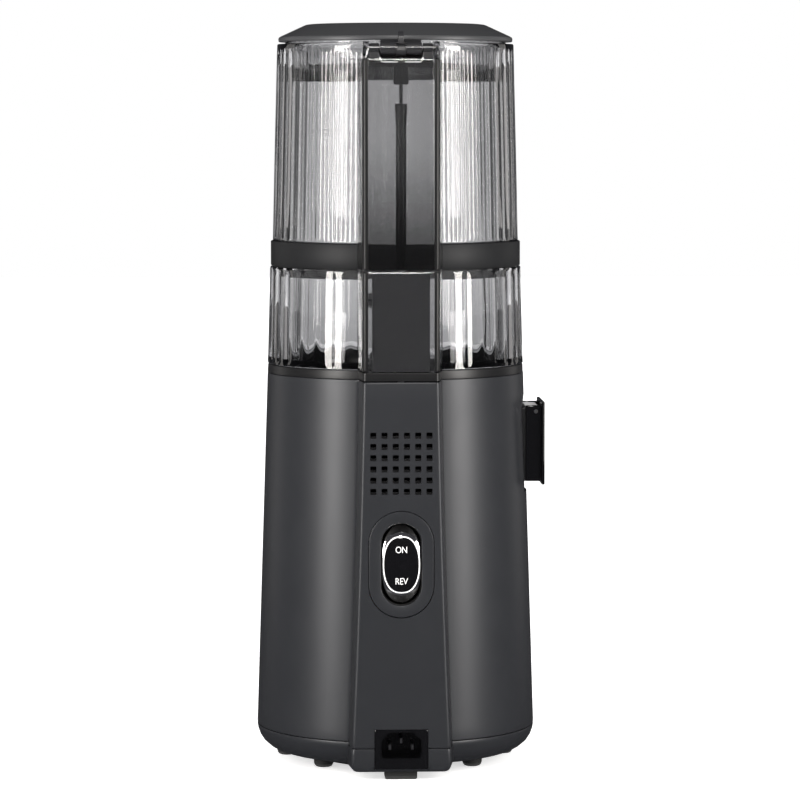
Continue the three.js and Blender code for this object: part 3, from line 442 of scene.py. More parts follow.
# ---------- motor base ----------
def build_base():
    levels = [
        (5, 74, 4.5), (5.25, 75.6, 3.2), (6, 77.6, 2), (7.6, 80.2, 1), (10.9, 83.8, 0.3), (14.7, 86.1, 0),
    ]
    levels += [(18.5, 87.3, 0), (21, 87.7, 0), (21.7, 87.5, 0.2)]
    rings = []
    for z, r, inset in levels:
        spine_z = 5 + (z - 5) * (SPINE_SEAM_Z - 0.3 - 5) / (SEAM_Z - 0.3 - 5)
        round_z = z + 1.3 * (SEAM_Z - 0.3 - z) / (SEAM_Z - 5.3)
        ring = []
        before = False
        for x, y in joined_path(z, r, -90, 269.999, inset):
            on_spine = abs(math.degrees(math.atan2(x, y))) < junction(z, r, inset) + 0.01
            if on_spine and not before:
                ring.append((x, y, round_z))
            if before and not on_spine:
                ring.append((*ring[-1][:2], round_z))
            ring.append((x, y, spine_z if on_spine else round_z))
            before = on_spine
        rings.append(ring)
    pan = piece(
        "base_pan", grid(rings, closed=True, caps=True), GRAPHITE, "motor_base", ["base_cover"], smooth=40,
    )
    cuts = merge(
        box(-16.5, 16.5, 72, 102, 7.1, 31.9),
        *[box(-24, 24, k * 12 - 3, k * 12 + 3, -1, 9) for k in range(-2, 3)],
    )
    boolean(pan, cuts, "pan_cuts")

    # Painted housing: a bare skin with its cut-out, thickened inwards.
    heights = [22.15, 22.5, 23.2] + [30 + 14 * k for k in range(11)] + [190, 210, 230, 243.8, 244.7, 245]
    heights = sorted(set([z for z in heights if z < CUT_Z] + [CUT_Z] + [z for z in heights if z > CUT_Z + 5]))
    span = [k / 60 for k in range(61)]
    rings = []
    for z in heights:
        lip = {22.15: -0.35, 22.5: -0.08, 244.7: -0.08, 245: -0.35}.get(z, 0)
        r = cone(z) + lip
        meet = junction(z, r) - 0.5
        angles = [90 + meet + (CUT_FROM - 90 - meet) * t for t in span]
        angles += [CUT_FROM + (CUT_TO - CUT_FROM) * t for t in span[1:]]
        angles += [CUT_TO + (450 - meet - CUT_TO) * t for t in span[1:]]
        rings.append([(*polar(r, a), z) for a in angles])
    cut_row = heights.index(CUT_Z)
    skin = grid(rings, skip=lambda i, k: i >= cut_row and 60 <= k < 120)
    bmesh.ops.recalc_face_normals(skin, faces=skin.faces)
    flip_outwards(skin)
    piece(
        "housing_skin", skin, GRAPHITE, "motor_base", ["main_housing"], thick=2.8, bevel=0.25,
        bevel_angle=50,
    )

    # Rear panel, with vents, switch opening and inlet opening.
    rings = []
    for z in [20.15, 20.6, 21.4] + [30 + 13.5 * k for k in range(16)] + [243.6, 244.3, 244.65]:
        shrink = {20.15: 0.4, 20.6: 0.12, 244.3: 0.12, 244.65: 0.4}.get(z, 0)
        rings.append([(x, y, z) for x, y in spine_path(z, 74, shrink)])
    shell = grid(rings)
    bmesh.ops.recalc_face_normals(shell, faces=shell.faces)
    flip_outwards(shell)
    panel = piece("rear_panel_skin", shell, GRAPHITE, "motor_base", ["rear_panel"], thick=2.6, bevel=0.18)
    tools = []
    for column in range(6):
        for row in range(6):
            x, z = (column - 2.5) * VENT_PITCH, VENT_MIDDLE + (row - 2.5) * VENT_PITCH
            outline = fillet(rectangle(x - VENT_HALF, x + VENT_HALF, z - VENT_HALF, z + VENT_HALF), 0.5, 2)
            tools.append(upright([(outline, 86), (outline, 104)]))
    tools.append(upright([(racetrack(20.2, 33.0, SWITCH_Z), 86), (racetrack(20.2, 33.0, SWITCH_Z), 104)]))
    tools.append(box(-16.45, 16.45, 80, 104, 7.2, 31.85))
    boolean(panel, merge(*tools), "panel_cuts")
    for row in range(6):
        z = VENT_MIDDLE + (row - 2.5) * VENT_PITCH
        piece(
            f"vent_louvre_{row}", box(-20.5, 20.5, 90.6, 92.6, z - 2.6, z - 0.5), DARK, "motor_base",
            bevel=0.3,
        )
    # A near-black board behind the vents: painted shade, so the vent holes read dark.
    piece("vent_shade_board", box(-24, 24, 84.5, 85.5, 170, 218), PAINTED_SHADE_BLACK, "motor_base", smooth=30)


def flip_outwards(bm):
    """Turns an open skin's faces away from the juicer's axis."""
    centre = Vector((AXIS_X, AXIS_Y, 0))
    total = 0.0
    for f in bm.faces:
        out = f.calc_center_median() - centre
        out.z = 0
        total += f.normal.dot(out) * f.calc_area()
    if total < 0:
        bmesh.ops.reverse_faces(bm, faces=bm.faces)


def build_seat():
    # The collar's rim, open where the outlets come through.
    outer = [
        (245.25, 80.7, 0.25), (245.5, 80.75, 0), (249.7, 80.5, 0), (250.3, 80.35, 0.12),
        (250.5, 80.0, 0.45),
    ]
    rings = []
    for z, r, inset in outer:
        path = joined_path(z, r, CUT_TO - 360, CUT_FROM, inset)
        rings.append([(x, y, z) for x, y in path])
    for z in (250.5, 245.25):
        path = joined_path(z, 80, CUT_TO - 360, CUT_FROM)
        rings.append([(*polar(75.6, math.degrees(math.atan2(y, x))), z) for x, y in path])
    rim = piece("collar_rim", grid(rings, loop=True), COLLAR, "motor_base", ["bowl_seat"], smooth=35)
    boolean(rim, rod([(PIN_BORE, 243), (PIN_BORE, 253)], 0, HINGE_Y), "plunger_way")
    profile = [
        (11.4, 150), (17, 150), (17, 166), (79, 166), (79, 169), (77.2, 169), (77.2, 170), (75.5, 170),
    ]
    profile += [(75.5, 169), (14, 169), (14, 172), (11.4, 172)]
    piece("seat_floor", lathe(fillet(profile, 0.5, 2)), DARK, "motor_base", smooth=35)
    wall = fillet([(75.5, 170), (77.2, 170), (77.2, 245.2), (75.5, 245.2)], 0.2, 1)
    piece("seat_wall", lathe(wall, CUT_TO - 360, CUT_FROM, 140), DARK, "motor_base", smooth=35)


def build_feet():
    for name, x, y in [("rear", 46.5, 42), ("side", 69, -5), ("front", 35, -60)]:
        for hand, side in (("left", -1), ("right", 1)):
            profile = [(3.9, 0), (4.9, 0.35), (5.7, 1.3), (6.2, 2.8), (6.2, 6.6)]
            piece(
                f"pad_{name}_{hand}", rod(profile, side * x, y), RUBBER, "motor_base",
                [f"foot_{name}_{hand}"],
            )
    outline = fillet(rectangle(-10, 10, 0, 5.4), [1.6, 1.6, 0, 0])
    wide = upright([(outline, y) for y in (79, 91)])
    piece("pad_spine", wide, RUBBER, "motor_base", ["foot_spine"], bevel=0.7)


def build_switch():
    face = reach(SWITCH_Z)
    track = lambda w, h: racetrack(w, h, SWITCH_Z, 40)
    rings = [
        (track(19.75, 32.55), face - 2.6),
        (track(19.75, 32.55), face - 0.25),
        (track(19.3, 32.1), face + 0.12),
        (track(18.7, 31.5), face + 0.16),
        (track(12.9, 25.85), face + 0.05),
        (track(12.55, 25.5), face - 0.15),
        (track(12.4, 25.35), face - 0.6),
        (track(12.35, 25.3), 80),
        (track(14.5, 27.4), 80),
        (track(14.5, 27.4), face - 2.6),
    ]
    bezel = grid([[(x, y, z) for x, z in outline] for outline, y in rings], closed=True, loop=True)
    piece("bezel_plate", bezel, GRAPHITE, "motor_base", ["switch_bezel"], smooth=32)
    # The pocket's lining and back are near-black painted shade, so the gap round the rocker reads black.
    lining = [(track(12.3, 25.25), face - 1.2), (track(12.3, 25.25), 81)]
    rings = [lining[0], lining[1], (track(12.0, 24.95), 81), (track(12.0, 24.95), face - 1.2)]
    liner = grid([[(x, y, z) for x, z in outline] for outline, y in rings], closed=True, loop=True)
    piece("pocket_shade_liner", liner, PAINTED_SHADE_BLACK, "motor_base")
    pocket_shade_back = upright([(track(12.2, 25.2), 80.2), (track(12.2, 25.2), 81)])
    piece("pocket_shade_back", pocket_shade_back, PAINTED_SHADE_BLACK, "motor_base")

    # Rocker: a chromed boat shape, low at both ends, with a black oval plate let into it.
    count = 96
    rings = []
    for share in (0.0, 0.45, 0.8, 0.93, 1.0):
        ring = []
        for k in range(count):
            a = 2 * math.pi * k / count
            outline_x, outline_z = 11.8 * math.cos(a), 24.4 * math.sin(a)
            stretch = 1.0 - 0.12 * abs(math.sin(2 * a))
            inner_x, inner_z = 10.5 * math.cos(a), 16.9 * math.sin(a)
            x = inner_x + (outline_x / max(stretch, 0.9) - inner_x) * share if share else inner_x
            x = max(-11.8, min(11.8, x))
            z = inner_z + (outline_z - inner_z) * share
            drop = 0.5 + 5.5 * (abs(z) / 24.4) ** 3 + 1.2 * share**3
            ring.append((x, face + 0.4 - (drop if share else 0.15), SWITCH_Z + z))
        rings.append(ring)
    rings.append([(x, 85.2, SWITCH_Z + (z - SWITCH_Z) * 0.985) for x, _, z in rings[-1]])
    body = grid(rings, closed=True, caps=True)
    piece("rocker_shell", body, CHROME, "power_rocker", ["rocker"], smooth=50)
    trunnion = bar(1.9, -14, 14, 87, SWITCH_Z)
    piece("rocker_trunnion", trunnion, DARK, "power_rocker")
    rim_levels = [(11.35, 17.5, -0.8), (11.35, 17.5, 0.55), (11.1, 17.25, 0.9)]
    rim_levels += [(10.75, 16.9, 0.9), (10.6, 16.75, 0.5), (10.6, 16.75, -0.8)]
    rim = [(oval(w, h, SWITCH_Z), face + out) for w, h, out in rim_levels]
    ring = grid([[(x, y, z) for x, z in outline] for outline, y in rim], closed=True, loop=True)
    piece("rocker_rim", ring, SATIN, "power_rocker", smooth=40)
    plate_levels = [(10.6, 16.75, -0.5), (10.6, 16.75, 0.5), (10.1, 16.25, 0.8), (5, 9, 0.86)]
    plate = upright([(oval(w, h, SWITCH_Z), face + out) for w, h, out in plate_levels])
    piece("rocker_plate", plate, GLOSS, "power_rocker", ["rocker_face"], smooth=50)
    for word, z in (("ON", SWITCH_Z + 9.0), ("REV", SWITCH_Z - 10.3)):
        curve = bpy.data.curves.new(word.lower(), "FONT")
        curve.body = word
        curve.size = 5.7 * MM
        curve.offset = -0.045 * MM
        curve.extrude = 0.04 * MM
        curve.align_x, curve.align_y = "CENTER", "CENTER"
        curve.space_character = 0.95
        scratch = bpy.data.objects.new("scratch_text", curve)
        bpy.context.scene.collection.objects.link(scratch)
        scratch.rotation_euler = (math.radians(90), 0, math.radians(180))
        scratch.location = place(0, face + 0.98, z)
        scratch.scale.x = 0.84
        bpy.context.view_layer.update()
        graph = bpy.context.evaluated_depsgraph_get()
        mesh = bpy.data.meshes.new_from_object(scratch.evaluated_get(graph))
        mesh.transform(scratch.matrix_world)
        bpy.data.objects.remove(scratch)
        letters = bpy.data.objects.new(f"word_{word.lower()}", mesh)
        mesh.materials.clear()
        mesh.materials.append(WHITE_INK)
        bpy.context.scene.collection.objects.link(letters)
        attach(letters, "power_rocker")


def build_inlet():
    face = INLET_FACE
    flange = fillet(rectangle(-INLET_HALF, INLET_HALF, INLET_LOW, INLET_HIGH), 0.8)
    front = fillet(rectangle(0.3 - INLET_HALF, INLET_HALF - 0.3, INLET_LOW + 0.3, INLET_HIGH - 0.3), 0.8)
    frame_block = upright([(flange, face - 3), (flange, face - 0.3), (front, face)])
    inlet = piece("inlet_frame", frame_block, GLOSS, "motor_base", ["inlet_socket"], smooth=35)
    rear = box(-14.5, 14.5, 74, face - 2.9, 11.5, 31.2)
    boolean(inlet, rear, "inlet_rear", "UNION")
    mouth = fillet(
        [(-12.3, 14.2), (12.3, 14.2), (12.3, 25.2), (7.3, 30.2), (-7.3, 30.2), (-12.3, 25.2)],
        [2.6, 2.6, 1, 1, 1, 1], 5
    )
    boolean(inlet, upright([(mouth, 80.4), (mouth, 104)]), "inlet_mouth")
    lip_outer = [(x * 1.035, 22.2 + (z - 22.2) * 1.05) for x, z in mouth]
    lip_levels = [
        (lip_outer, face - 0.3), (lip_outer, face + 0.25), (mouth, face + 0.25), (mouth, face - 0.3),
    ]
    lip = grid([[(x, y, z) for x, z in outline] for outline, y in lip_levels], closed=True, loop=True)
    piece("inlet_lip", lip, GLOSS, "motor_base", smooth=35)
    for name, x, z in (("line", -7, 20.2), ("neutral", 7, 20.2), ("earth", 0, 24.2)):
        blade = fillet(rectangle(x - 1, x + 1, z - 2, z + 2), 0.5)
        tip = fillet(rectangle(x - 0.6, x + 0.6, z - 1.5, z + 1.5), 0.4)
        solid = upright([(blade, 70), (blade, face - 6.5), (tip, face - 5.5)])
        piece(f"blade_{name}", solid, STEEL, "motor_base", [f"inlet_blade_{name}"], smooth=35)


# ---------- bowl ----------
def flutes(count, depth, rows, weight):
    """A wave of convex flutes for lathe(): deepest along the cusps between them."""

    def wave(angle, index):
        share = rows.get(index, 0.0)
        if not share:
            return 0.0
        phase = (angle * count / 360.0 + 0.5) % 1.0 - 0.5
        return -depth * share * 4 * phase * phase * weight(angle)

    return wave


def away_from_spine(half_angle, full_angle=None, least=0.0):
    """A weight of none beside the spine that grows from least to one between the two angles."""

    def weight(angle):
        off = abs((angle - 90 + 180) % 360 - 180)
        if off < half_angle:
            return 0.0
        if not full_angle:
            return 1.0
        t = min(1.0, (off - half_angle) / (full_angle - half_angle))
        return least + (1 - least) * t * t * (3 - 2 * t)

    return weight


def build_bowl():
    outer = [
        (73.5, 174), (74.4, 176), (74.5, 250.8), (80.2, 250.8), (80.6, 251.3), (80.7, 252.4), (80.6, 254.2),
    ]
    outer += [(79.9, 280), (79.2, 306), (79.1, 309.4), (79.0, 311), (78.5, 311.8)]
    inner = [(76.6, 311.8), (76.4, 311), (77, 255), (75, 251.5), (72, 247.8), (71.2, 178), (70.4, 177)]
    inner += [(12.2, 177), (12.2, 195.6), (11.8, 196), (9.6, 196), (9.2, 195.6), (9.2, 174)]
    rows = {5: 0.35, 6: 1.0, 7: 1.0, 8: 1.0, 9: 0.75}
    wave = flutes(40, 1.1, rows, away_from_spine(15.5, 62, 0.12))
    wall = piece(
        "bowl_wall", lathe(outer + inner, count=540, wave=wave), CLEAR, "juicing_bowl", ["bowl"], smooth=60,
    )
    boolean(wall, box(60, 85, -12, 12, 178, 196, JUICE_ANGLE), "juice_way")
    boolean(wall, box(60, 85, -16, 16, 178.5, 208, PULP_ANGLE), "pulp_way")

    build_duct("bowl_duct_wall", 250.9, BOWL_TOP, 79.6, CLEAR_DARK, "juicing_bowl", ["bowl_duct"])
    add_edge("bowl_duct_core", DARK, 0.8)

    rings = []
    for z, lip in [
        (170.3, -0.4), (170.8, 0), (200, 0), (223.2, 0), (231, 0), (244.6, 0), (245.6, -0.25),
        (249.8, -0.35), (250.5, -0.8),
    ]:
        r = cone(min(z, 245)) + lip - (1.2 if z < 224 else 0)
        angles = [CUT_FROM + 0.35 + (CUT_TO - CUT_FROM - 0.7) * k / 150 for k in range(151)]
        rings.append([(*polar(r, angle), z) for angle in angles])
    skin = grid(rings)
    bmesh.ops.recalc_face_normals(skin, faces=skin.faces)
    flip_outwards(skin)
    apron = piece("apron_skin", skin, GRAPHITE, "juicing_bowl", ["outlet_apron"], thick=2.6, bevel=0.25)
    boolean(apron, box(70, 99, -17.2, 17.2, 176.3, 223.4, JUICE_ANGLE), "spout_hole")
    boolean(apron, box(70, 99, -20.2, 20.2, 175.8, 212.2, PULP_ANGLE), "chute_hole")


def build_duct(name, low, high, round_r, look, body, replaces):
    """A clear rear pane, a narrow dark strip round each corner, and clear sides in front of the strips. The
    dark strips are painted shade, for the dark look of the clear corners seen edge-on.
    """
    front, side, back = round_r - 5.6, 3.0, 2.5
    heights = [low, low + 0.5, low + 1.2, (low + high) / 2, high - 1.2, high - 0.5, high]
    ease = [0.45, 0.12, 0, 0, 0, 0.12, 0.45]
    pane = []
    for z, eased in zip(heights, ease):
        x, y = half(z) - side - 0.05 - eased, reach(z) - eased
        pane.append([(-x, y, z), (x, y, z), (x, y - back + eased, z), (-x, y - back + eased, z)])
    piece(name, grid(pane, closed=True, caps=True), look, body, replaces, smooth=40)
    depth = 5.0
    for hand, sign in (("left", -1), ("right", 1)):
        strips, sides = [], []
        for z, eased in zip(heights, ease):
            h, b = half(z), reach(z)
            strip = [p for p in spine_path(z, b - depth, eased, corner=2.6) if p[0] > h - side]
            strip += [(h - side, b - eased), (h - side, b - back), (h - back + back * DRAFT, b - back)]
            strip.append((h - back + depth * DRAFT, b - depth))
            strips.append([(sign * x, y, z) for x, y in strip])
            edge = [(b - depth - 0.05, 0), (front, 0), (front, back), (b - depth - 0.05, back)]
            widths = [h - inset - eased * (inset == 0) + (b - y) * DRAFT for y, inset in edge]
            sides.append([(sign * width, y, z) for width, (y, _) in zip(widths, edge)])
        # The corner strips are painted shade: collar black where the clear corners look dark seen edge-on.
        piece(f"{name}_strip_{hand}", grid(strips, closed=True, caps=True), COLLAR, body, smooth=40)
        piece(f"{name}_side_{hand}", grid(sides, closed=True, caps=True), look, body, smooth=40)


def build_outlets():
    body = box(74.3, SPOUT_END, -SPOUT_HALF, SPOUT_HALF, SPOUT_FOOT, SPOUT_HEAD, JUICE_ANGLE)
    spout = piece("spout_body", body, DARK, "juicing_bowl", ["juice_spout"], bevel=1.2, segments=3)
    cup = [(0.01, 150), (CUP_R, 150), (CUP_R, 260), (0.01, 260)]
    boolean(spout, merge(lathe(cup, count=180)), "bowl_side")
    boolean(spout, box(60, 99, -12, 12, 178, 196, JUICE_ANGLE), "spout_way")
    pin_x, pin_y = polar(CAP_PIN_U, JUICE_ANGLE)
    pin = piece("cap_axle", bar(CAP_PIN_R, -20.4, 20.4, 0, 0), STEEL, "juicing_bowl", ["cap_pin"])
    turn_on_axis(pin, JUICE_ANGLE, pin_x, pin_y, CAP_PIN_Z)

    plate = box(CAP_U, CAP_U + 2, -CAP_HALF, CAP_HALF, CAP_FOOT, CAP_HEAD, JUICE_ANGLE)
    piece("cap_plate", plate, GLOSS, "spout_cap", ["juice_cap"], bevel=0.7, segments=3)
    for hand, low, high in (("left", -20, -17.8), ("right", 17.8, 20)):
        cheek = box(CHEEK_U, CAP_U + 0.3, low, high, CHEEK_FOOT, CHEEK_HEAD, JUICE_ANGLE)
        piece(f"cap_cheek_{hand}", cheek, GLOSS, "spout_cap", bevel=0.6, segments=3)
    # A pale plate on the spout's top: painted highlight for the light its glossy top catches.
    top = box(81.6, 89.4, -16.6, 16.6, 223.25, 223.9, JUICE_ANGLE)
    piece("spout_top_highlight", top, TOP_HIGHLIGHT_PAINT, "juicing_bowl", bevel=0.2)

    end = CHUTE_END
    body = box(74.3, end, -CHUTE_HALF, CHUTE_HALF, CHUTE_FOOT, CHUTE_HEAD, PULP_ANGLE)
    chute = piece("chute_body", body, DARK, "juicing_bowl", ["pulp_chute"], bevel=2.2, segments=4)
    boolean(chute, lathe(cup, count=180), "chute_bowl_side")
    boolean(chute, box(60, end - 3, -17, 17, 178.5, 209, PULP_ANGLE), "chute_way")
    boolean(chute, box(85.5, end - 3, -17, 17, 170, 190, PULP_ANGLE), "chute_drop")


def turn_on_axis(obj, degrees, x, y, z):
    """Moves a piece made along X at the juicer's axis to lie across an outlet."""
    centre = place(0, 0, 0)
    turn = Matrix.Rotation(math.radians(degrees + 90), 4, "Z")
    target = place(x, y, z)
    obj.data.transform(Matrix.Translation(target) @ turn @ Matrix.Translation(-centre))


# ---------- screw ----------
def helix(core_at, out_at, z0, z1, turns, start, thick, steps_per_turn=72):
    steps = int(abs(turns) * steps_per_turn)
    rings = []
    for i in range(steps + 1):
        share = i / steps
        angle, z = start + turns * 360 * share, z0 + (z1 - z0) * share
        fade = min(1.0, 10 * share, 10 * (1 - share))
        out = core_at(z) + 0.3 + (out_at(z) - core_at(z) - 0.3) * fade
        section = [
            (core_at(z) - 2, -thick / 2), (out - 0.8, -thick / 2), (out - 0.2, -thick / 2 + 0.5), (out, 0),
        ]
        section += [(out - 0.2, thick / 2 - 0.5), (out - 0.8, thick / 2), (core_at(z) - 2, thick / 2)]
        rings.append([(*polar(r, angle), z + dz) for r, dz in section])
    return grid(rings, closed=True, caps=True)


def build_screw():
    def lower_core(z):
        return 54 - (z - 182) * 18 / 52

    profile = [
        (52, 181), (56, 181), (55.6, 183), (lower_core(200), 200), (lower_core(218), 218), (36.5, 233),
        (34, 236),
    ]
    profile += [
        (22, 243), (20, 244.6), (20, 247.6), (19.6, 248), (10.7, 248), (10.5, 247.6), (10.5, 216),
        (0.01, 216),
    ]
    profile += [
        (0.01, 214.6), (5.9, 214.6), (5.9, 190.4), (12.9, 190.4), (12.9, 181), (16, 181), (16, 200),
        (40, 200),
    ]
    body = lathe(profile, count=160)
    ribs = [helix(lower_core, lambda z: lower_core(z) + 5, 186, 230, 0.42, a, 4) for a in (0, 120, 240)]
    slots = []
    for k in range(36):
        angle = k * 10
        low, high = lower_core(187) + 0.15, lower_core(198) + 0.15
        slots.append(box(min(low, high) - 1.5, low + 0.9, -0.8, 0.8, 184.6, 190.5, angle))
    piece("lower_screw_body", merge(body, *ribs), SCREW, "screw", ["lower_screw"], smooth=40)
    piece("strainer_slats", merge(*slots), SILICONE, "screw", smooth=40)

    def core(z):
        return 15 - (z - 248) * 4 / 70

    profile = [
        (0.01, 218), (10.1, 218), (10.1, 248.4), (18.6, 248.4), (19, 249), (17.5, 252), (core(256), 256),
    ]
    profile += [(core(316), 316), (9.6, 319), (7, 322), (3.6, 323.6), (0.01, 324)]
    thread = helix(core, lambda z: 22.5 - (z - 254) * 2 / 60, 254, 303, 1.6, 0, 4)
    piece(
        "upper_screw_body", merge(lathe(profile, count=96), thread), SCREW, "screw", ["upper_screw"],
        smooth=40,
    )
    add_edge("cutting_wing", STEEL, 0.4)


def add_edge(node, look, width=0.25, smooth=30):
    """Shows a CAD node itself, with a finish and eased edges."""
    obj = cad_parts[node]
    obj.data.materials.clear()
    obj.data.materials.append(look)
    if width:
        edge = obj.modifiers.new("edge", "BEVEL")
        edge.width = width * MM
        edge.segments = 2
        edge.limit_method = "ANGLE"
        edge.angle_limit = math.radians(40)
    obj.data.shade_smooth()
    obj.data.set_sharp_from_angle(angle=math.radians(smooth))


def show_insides():
    looks = {
        DARK: ["switch_block", "safety_switch", "motor_fan", "gearbox_case", "gearbox_cover"],
        STEEL: [
            "motor_stator", "motor_rotor", "lay_axle", "output_shaft", "gearbox_bearing", "shaft_bearing",
        ],
        RUBBER: ["shaft_seal"],
        SILICONE: ["switch_plunger", "transfer_pin", "bowl_gasket", "juice_cap_seal", "pulp_packing"],
        COPPER: ["motor_windings"],
        NYLON: ["compound_gear", "output_gear"],
        BOARD: ["control_board"],
    }
    for look, nodes in looks.items():
        for node in nodes:
            add_edge(node, look, 0.2)


# ---------- hopper ----------
def build_hopper():
    ring = [
        (73.4, 306), (75.7, 306), (75.8, 306.4), (75.8, 312.6), (78.4, 312.6), (78.6, 312.9), (78.6, 327.3),
    ]
    ring += [(78.3, 327.8), (77.8, 328), (71.9, 328), (71.9, 314.6)]
    meet = junction(320, 78.6)
    piece(
        "ring_band", lathe(ring, 90 + meet - 360 + 0.1, 90 - meet - 0.1, 260), RING_PAINT, "hopper",
        ["hopper_ring"], smooth=35,
    )
    inner = [(73.4, 306), (75.7, 306), (75.8, 312), (75.8, 327.9), (71.9, 327.9), (71.9, 314.6)]
    # The ring's part behind the duct wears the lighter bridge paint: painted light.
    piece("ring_bridge", lathe(inner, 90 - meet - 0.7, 90 + meet + 0.7, 40), BRIDGE_PAINTED_LIGHT, "hopper", smooth=35)

    outer = [
        (77.0, 328.3), (77.3, 328.6), (77.3, 329.6), (77.25, 331), (76.6, 360), (75.9, 390), (75.1, 420),
    ]
    outer += [(74.5, 444.2), (74.45, 445.6), (74.4, 446.4), (74.25, 450.4), (73.9, 451)]
    inner = [(72.1, 451), (71.8, 450.6), (72.4, 420), (73.9, 360), (74.9, 328.6), (75.1, 328.3)]
    rows = {2: 0.3, 3: 1.0, 4: 1.0, 5: 1.0, 6: 1.0, 7: 1.0, 8: 0.5}
    fine = flutes(144, 0.26, rows, away_from_spine(15.2))
    broad = flutes(56, 0.75, rows, away_from_spine(32, 62))
    fade = away_from_spine(40, 64)

    def wave(angle, index):
        return fine(angle, index) * (1 - 0.8 * fade(angle)) + broad(angle, index)

    piece(
        "hopper_clear", lathe(outer + inner, count=1280, wave=wave), CLEAR, "hopper", ["hopper_wall"],
        smooth=70,
    )

    # Painted shade: the hopper duct's colour darkens towards its foot.
    paint_shade_by_height(DUCT, 0.314, 0.4, 0.16, 0.75)
    build_duct("hopper_duct_wall", RING_BOTTOM, 441, 79.2, DUCT, "hopper", ["hopper_duct"])
    build_hinge()


def build_hinge():
    y, z = HINGE_Y, HINGE_Z
    for side in (-1, 1):
        hand = "left" if side < 0 else "right"
        low, high = sorted((side * 19.6, side * 23.2))
        cheek_outline = [
            (y - 3.6, 440.6), (y + 6.6, 440.6), (y + 6.9, z), (y + 4.2, z + 4.2), (y - 3, z + 4.2),
            (y - 4.4, z),
        ]
        cheek_outline = fillet(cheek_outline, 1.4, 4)
        rings = [[(x, cy, cz) for cy, cz in cheek_outline] for x in (low, low + 0.01, high - 0.01, high)]
        piece(f"hinge_ear_{hand}", grid(rings, closed=True, caps=True), CLEAR_DARK, "hopper", bevel=0.35)
        low, high = sorted((side * 13.2, side * 19.4))
        piece(f"hinge_barrel_{hand}", bar(3.2, low, high, y, z), DARK, "hopper", bevel=0.0)
        foot = box(low, high, y - 3, y + 2.4, 439.5, z - 2)
        piece(f"hinge_post_{hand}", foot, DARK, "hopper", bevel=0.5)
    backing = box(-19.4, 19.4, 80.4, 83.2, 436, 445.6)
    piece("hinge_backing", backing, COLLAR, "hopper", bevel=0.3)
    for hand, side in (("left", -1), ("right", 1)):
        # Pale satin wires along the notch in the duct's rear wall: painted glint for the lit edge of the
        # clear plastic.
        run = [(2.2, 438.7), (11.6, 438.7), (13.2, 441.4)]
        for k, ((x0, z0), (x1, z1)) in enumerate(zip(run, run[1:])):
            edge = wire((side * x0, 94.6, z0), (side * x1, 94.6, z1), 0.42)
            piece(f"notch_edge_{hand}_{k}", edge, SATIN, "hopper")
        line = wire((side * 2.4, 94.7, z + 0.6), (side * 21, 94.7, z + 0.6), 0.55)
        piece(f"hinge_wire_{hand}", line, STEEL, "hopper")
    shelf = fillet([(-19.6, 435.6), (19.6, 435.6), (19.6, 438.6), (-19.6, 438.6)], 0.5, 2)
    piece(
        "duct_shelf", upright([(shelf, 78.2), (shelf, 91.4)]), DARK, "hopper", ["hinge_bracket"], bevel=0.3,
    )
    outline = fillet(rectangle(-4.6, 4.6, 425, 437), 1.2, 4)
    guide = upright([(outline, 84.2), (outline, 91.4)])
    piece("rod_guide", guide, DARK, "hopper", bevel=0.5)
    piece("hinge_rod", bar(1.5, -23, 23, y, z), STEEL, "hopper", ["lid_hinge_pin"])

    profile = [
        (3.2, 313.9), (3.2, 400), (3.4, 405), (3.7, 409.4), (3.8, 410), (3.8, 413), (3.5, 413.4),
        (1.1, 413.5), (1.1, 441.4), (0.8, 441.8),
    ]
    piece("rod_body", rod(profile, 0, HINGE_Y), DARK, "interlock_rod", ["push_rod"])


# ---------- lid ----------
def build_lid():
    profile = [
        (0.01, 459.9), (53, 459.9), (69.5, 454.7), (69.5, 452.4), (73.1, 452.4), (73.5, 452.9),
        (73.6, 454.2),
    ]
    profile += [
        (73.2, 455.2), (71.6, 456.1), (64, 459.6), (57.5, 462.6), (56, 463.15), (54, 463.4), (50, 463.5),
        (0.01, 463.5),
    ]
    piece("lid_top", lathe(profile, count=240), LID_PAINT, "lid", ["lid_shell"], smooth=28)
    skirt = [
        (67.5, 427.3), (67.8, 427), (69.1, 427), (69.4, 427.3), (69.4, 451.3), (69.1, 452.5), (67.5, 452.5),
    ]
    piece("lid_skirt_clear", lathe(skirt, count=240), CLEAR, "lid", ["lid_skirt"], smooth=50)

    y, z = HINGE_Y, HINGE_Z
    for hand, (x0, x1) in {"left": (-12.6, -3.2), "right": (3.2, 12.6)}.items():
        piece(f"lid_knuckle_{hand}", bar(3.9, x0, x1, y, z, count=40), DARK, "lid", ["lid_hinge_arm"])
    outline = []
    for k in range(72):
        turn = 5 * k - 90
        r = CAM_R - CAM_DROP * min(max(turn, 0), LID_SWING) / LID_SWING
        angle = math.radians(turn)
        outline.append((y + r * math.sin(angle), z - r * math.cos(angle)))
    cam = grid([[(x, yy, zz) for yy, zz in outline] for x in (-3, 3)], closed=True, caps=True)
    piece("lid_cam", cam, DARK, "lid")
    strap = fillet(
        [(70.6, 450.9), (84, 450.9), (87.5, 449.4), (88.5, 450.2), (84.6, 452.2), (70.6, 452.2)], 0.4, 2,
    )
    rings = [[(x, yy, zz) for yy, zz in strap] for x in (-12.4, -12, 12, 12.4)]
    piece("lid_strap", grid(rings, closed=True, caps=True), DARK, "lid", bevel=0.25)
    tab = fillet([(80.5, 449.5), (90.4, 449.5), (90.4, 454.5), (87.5, 457.4), (84.5, 457.4)], 1.0, 3)
    rings = [[(x, yy, zz) for yy, zz in tab] for x in (-1.6, 1.6)]
    piece("lid_tab", grid(rings, closed=True, caps=True), DARK, "lid", bevel=0.35)


# ---------- stage ----------
CARD_GLOSS = (0.05, 0.05, 0.055, 1)


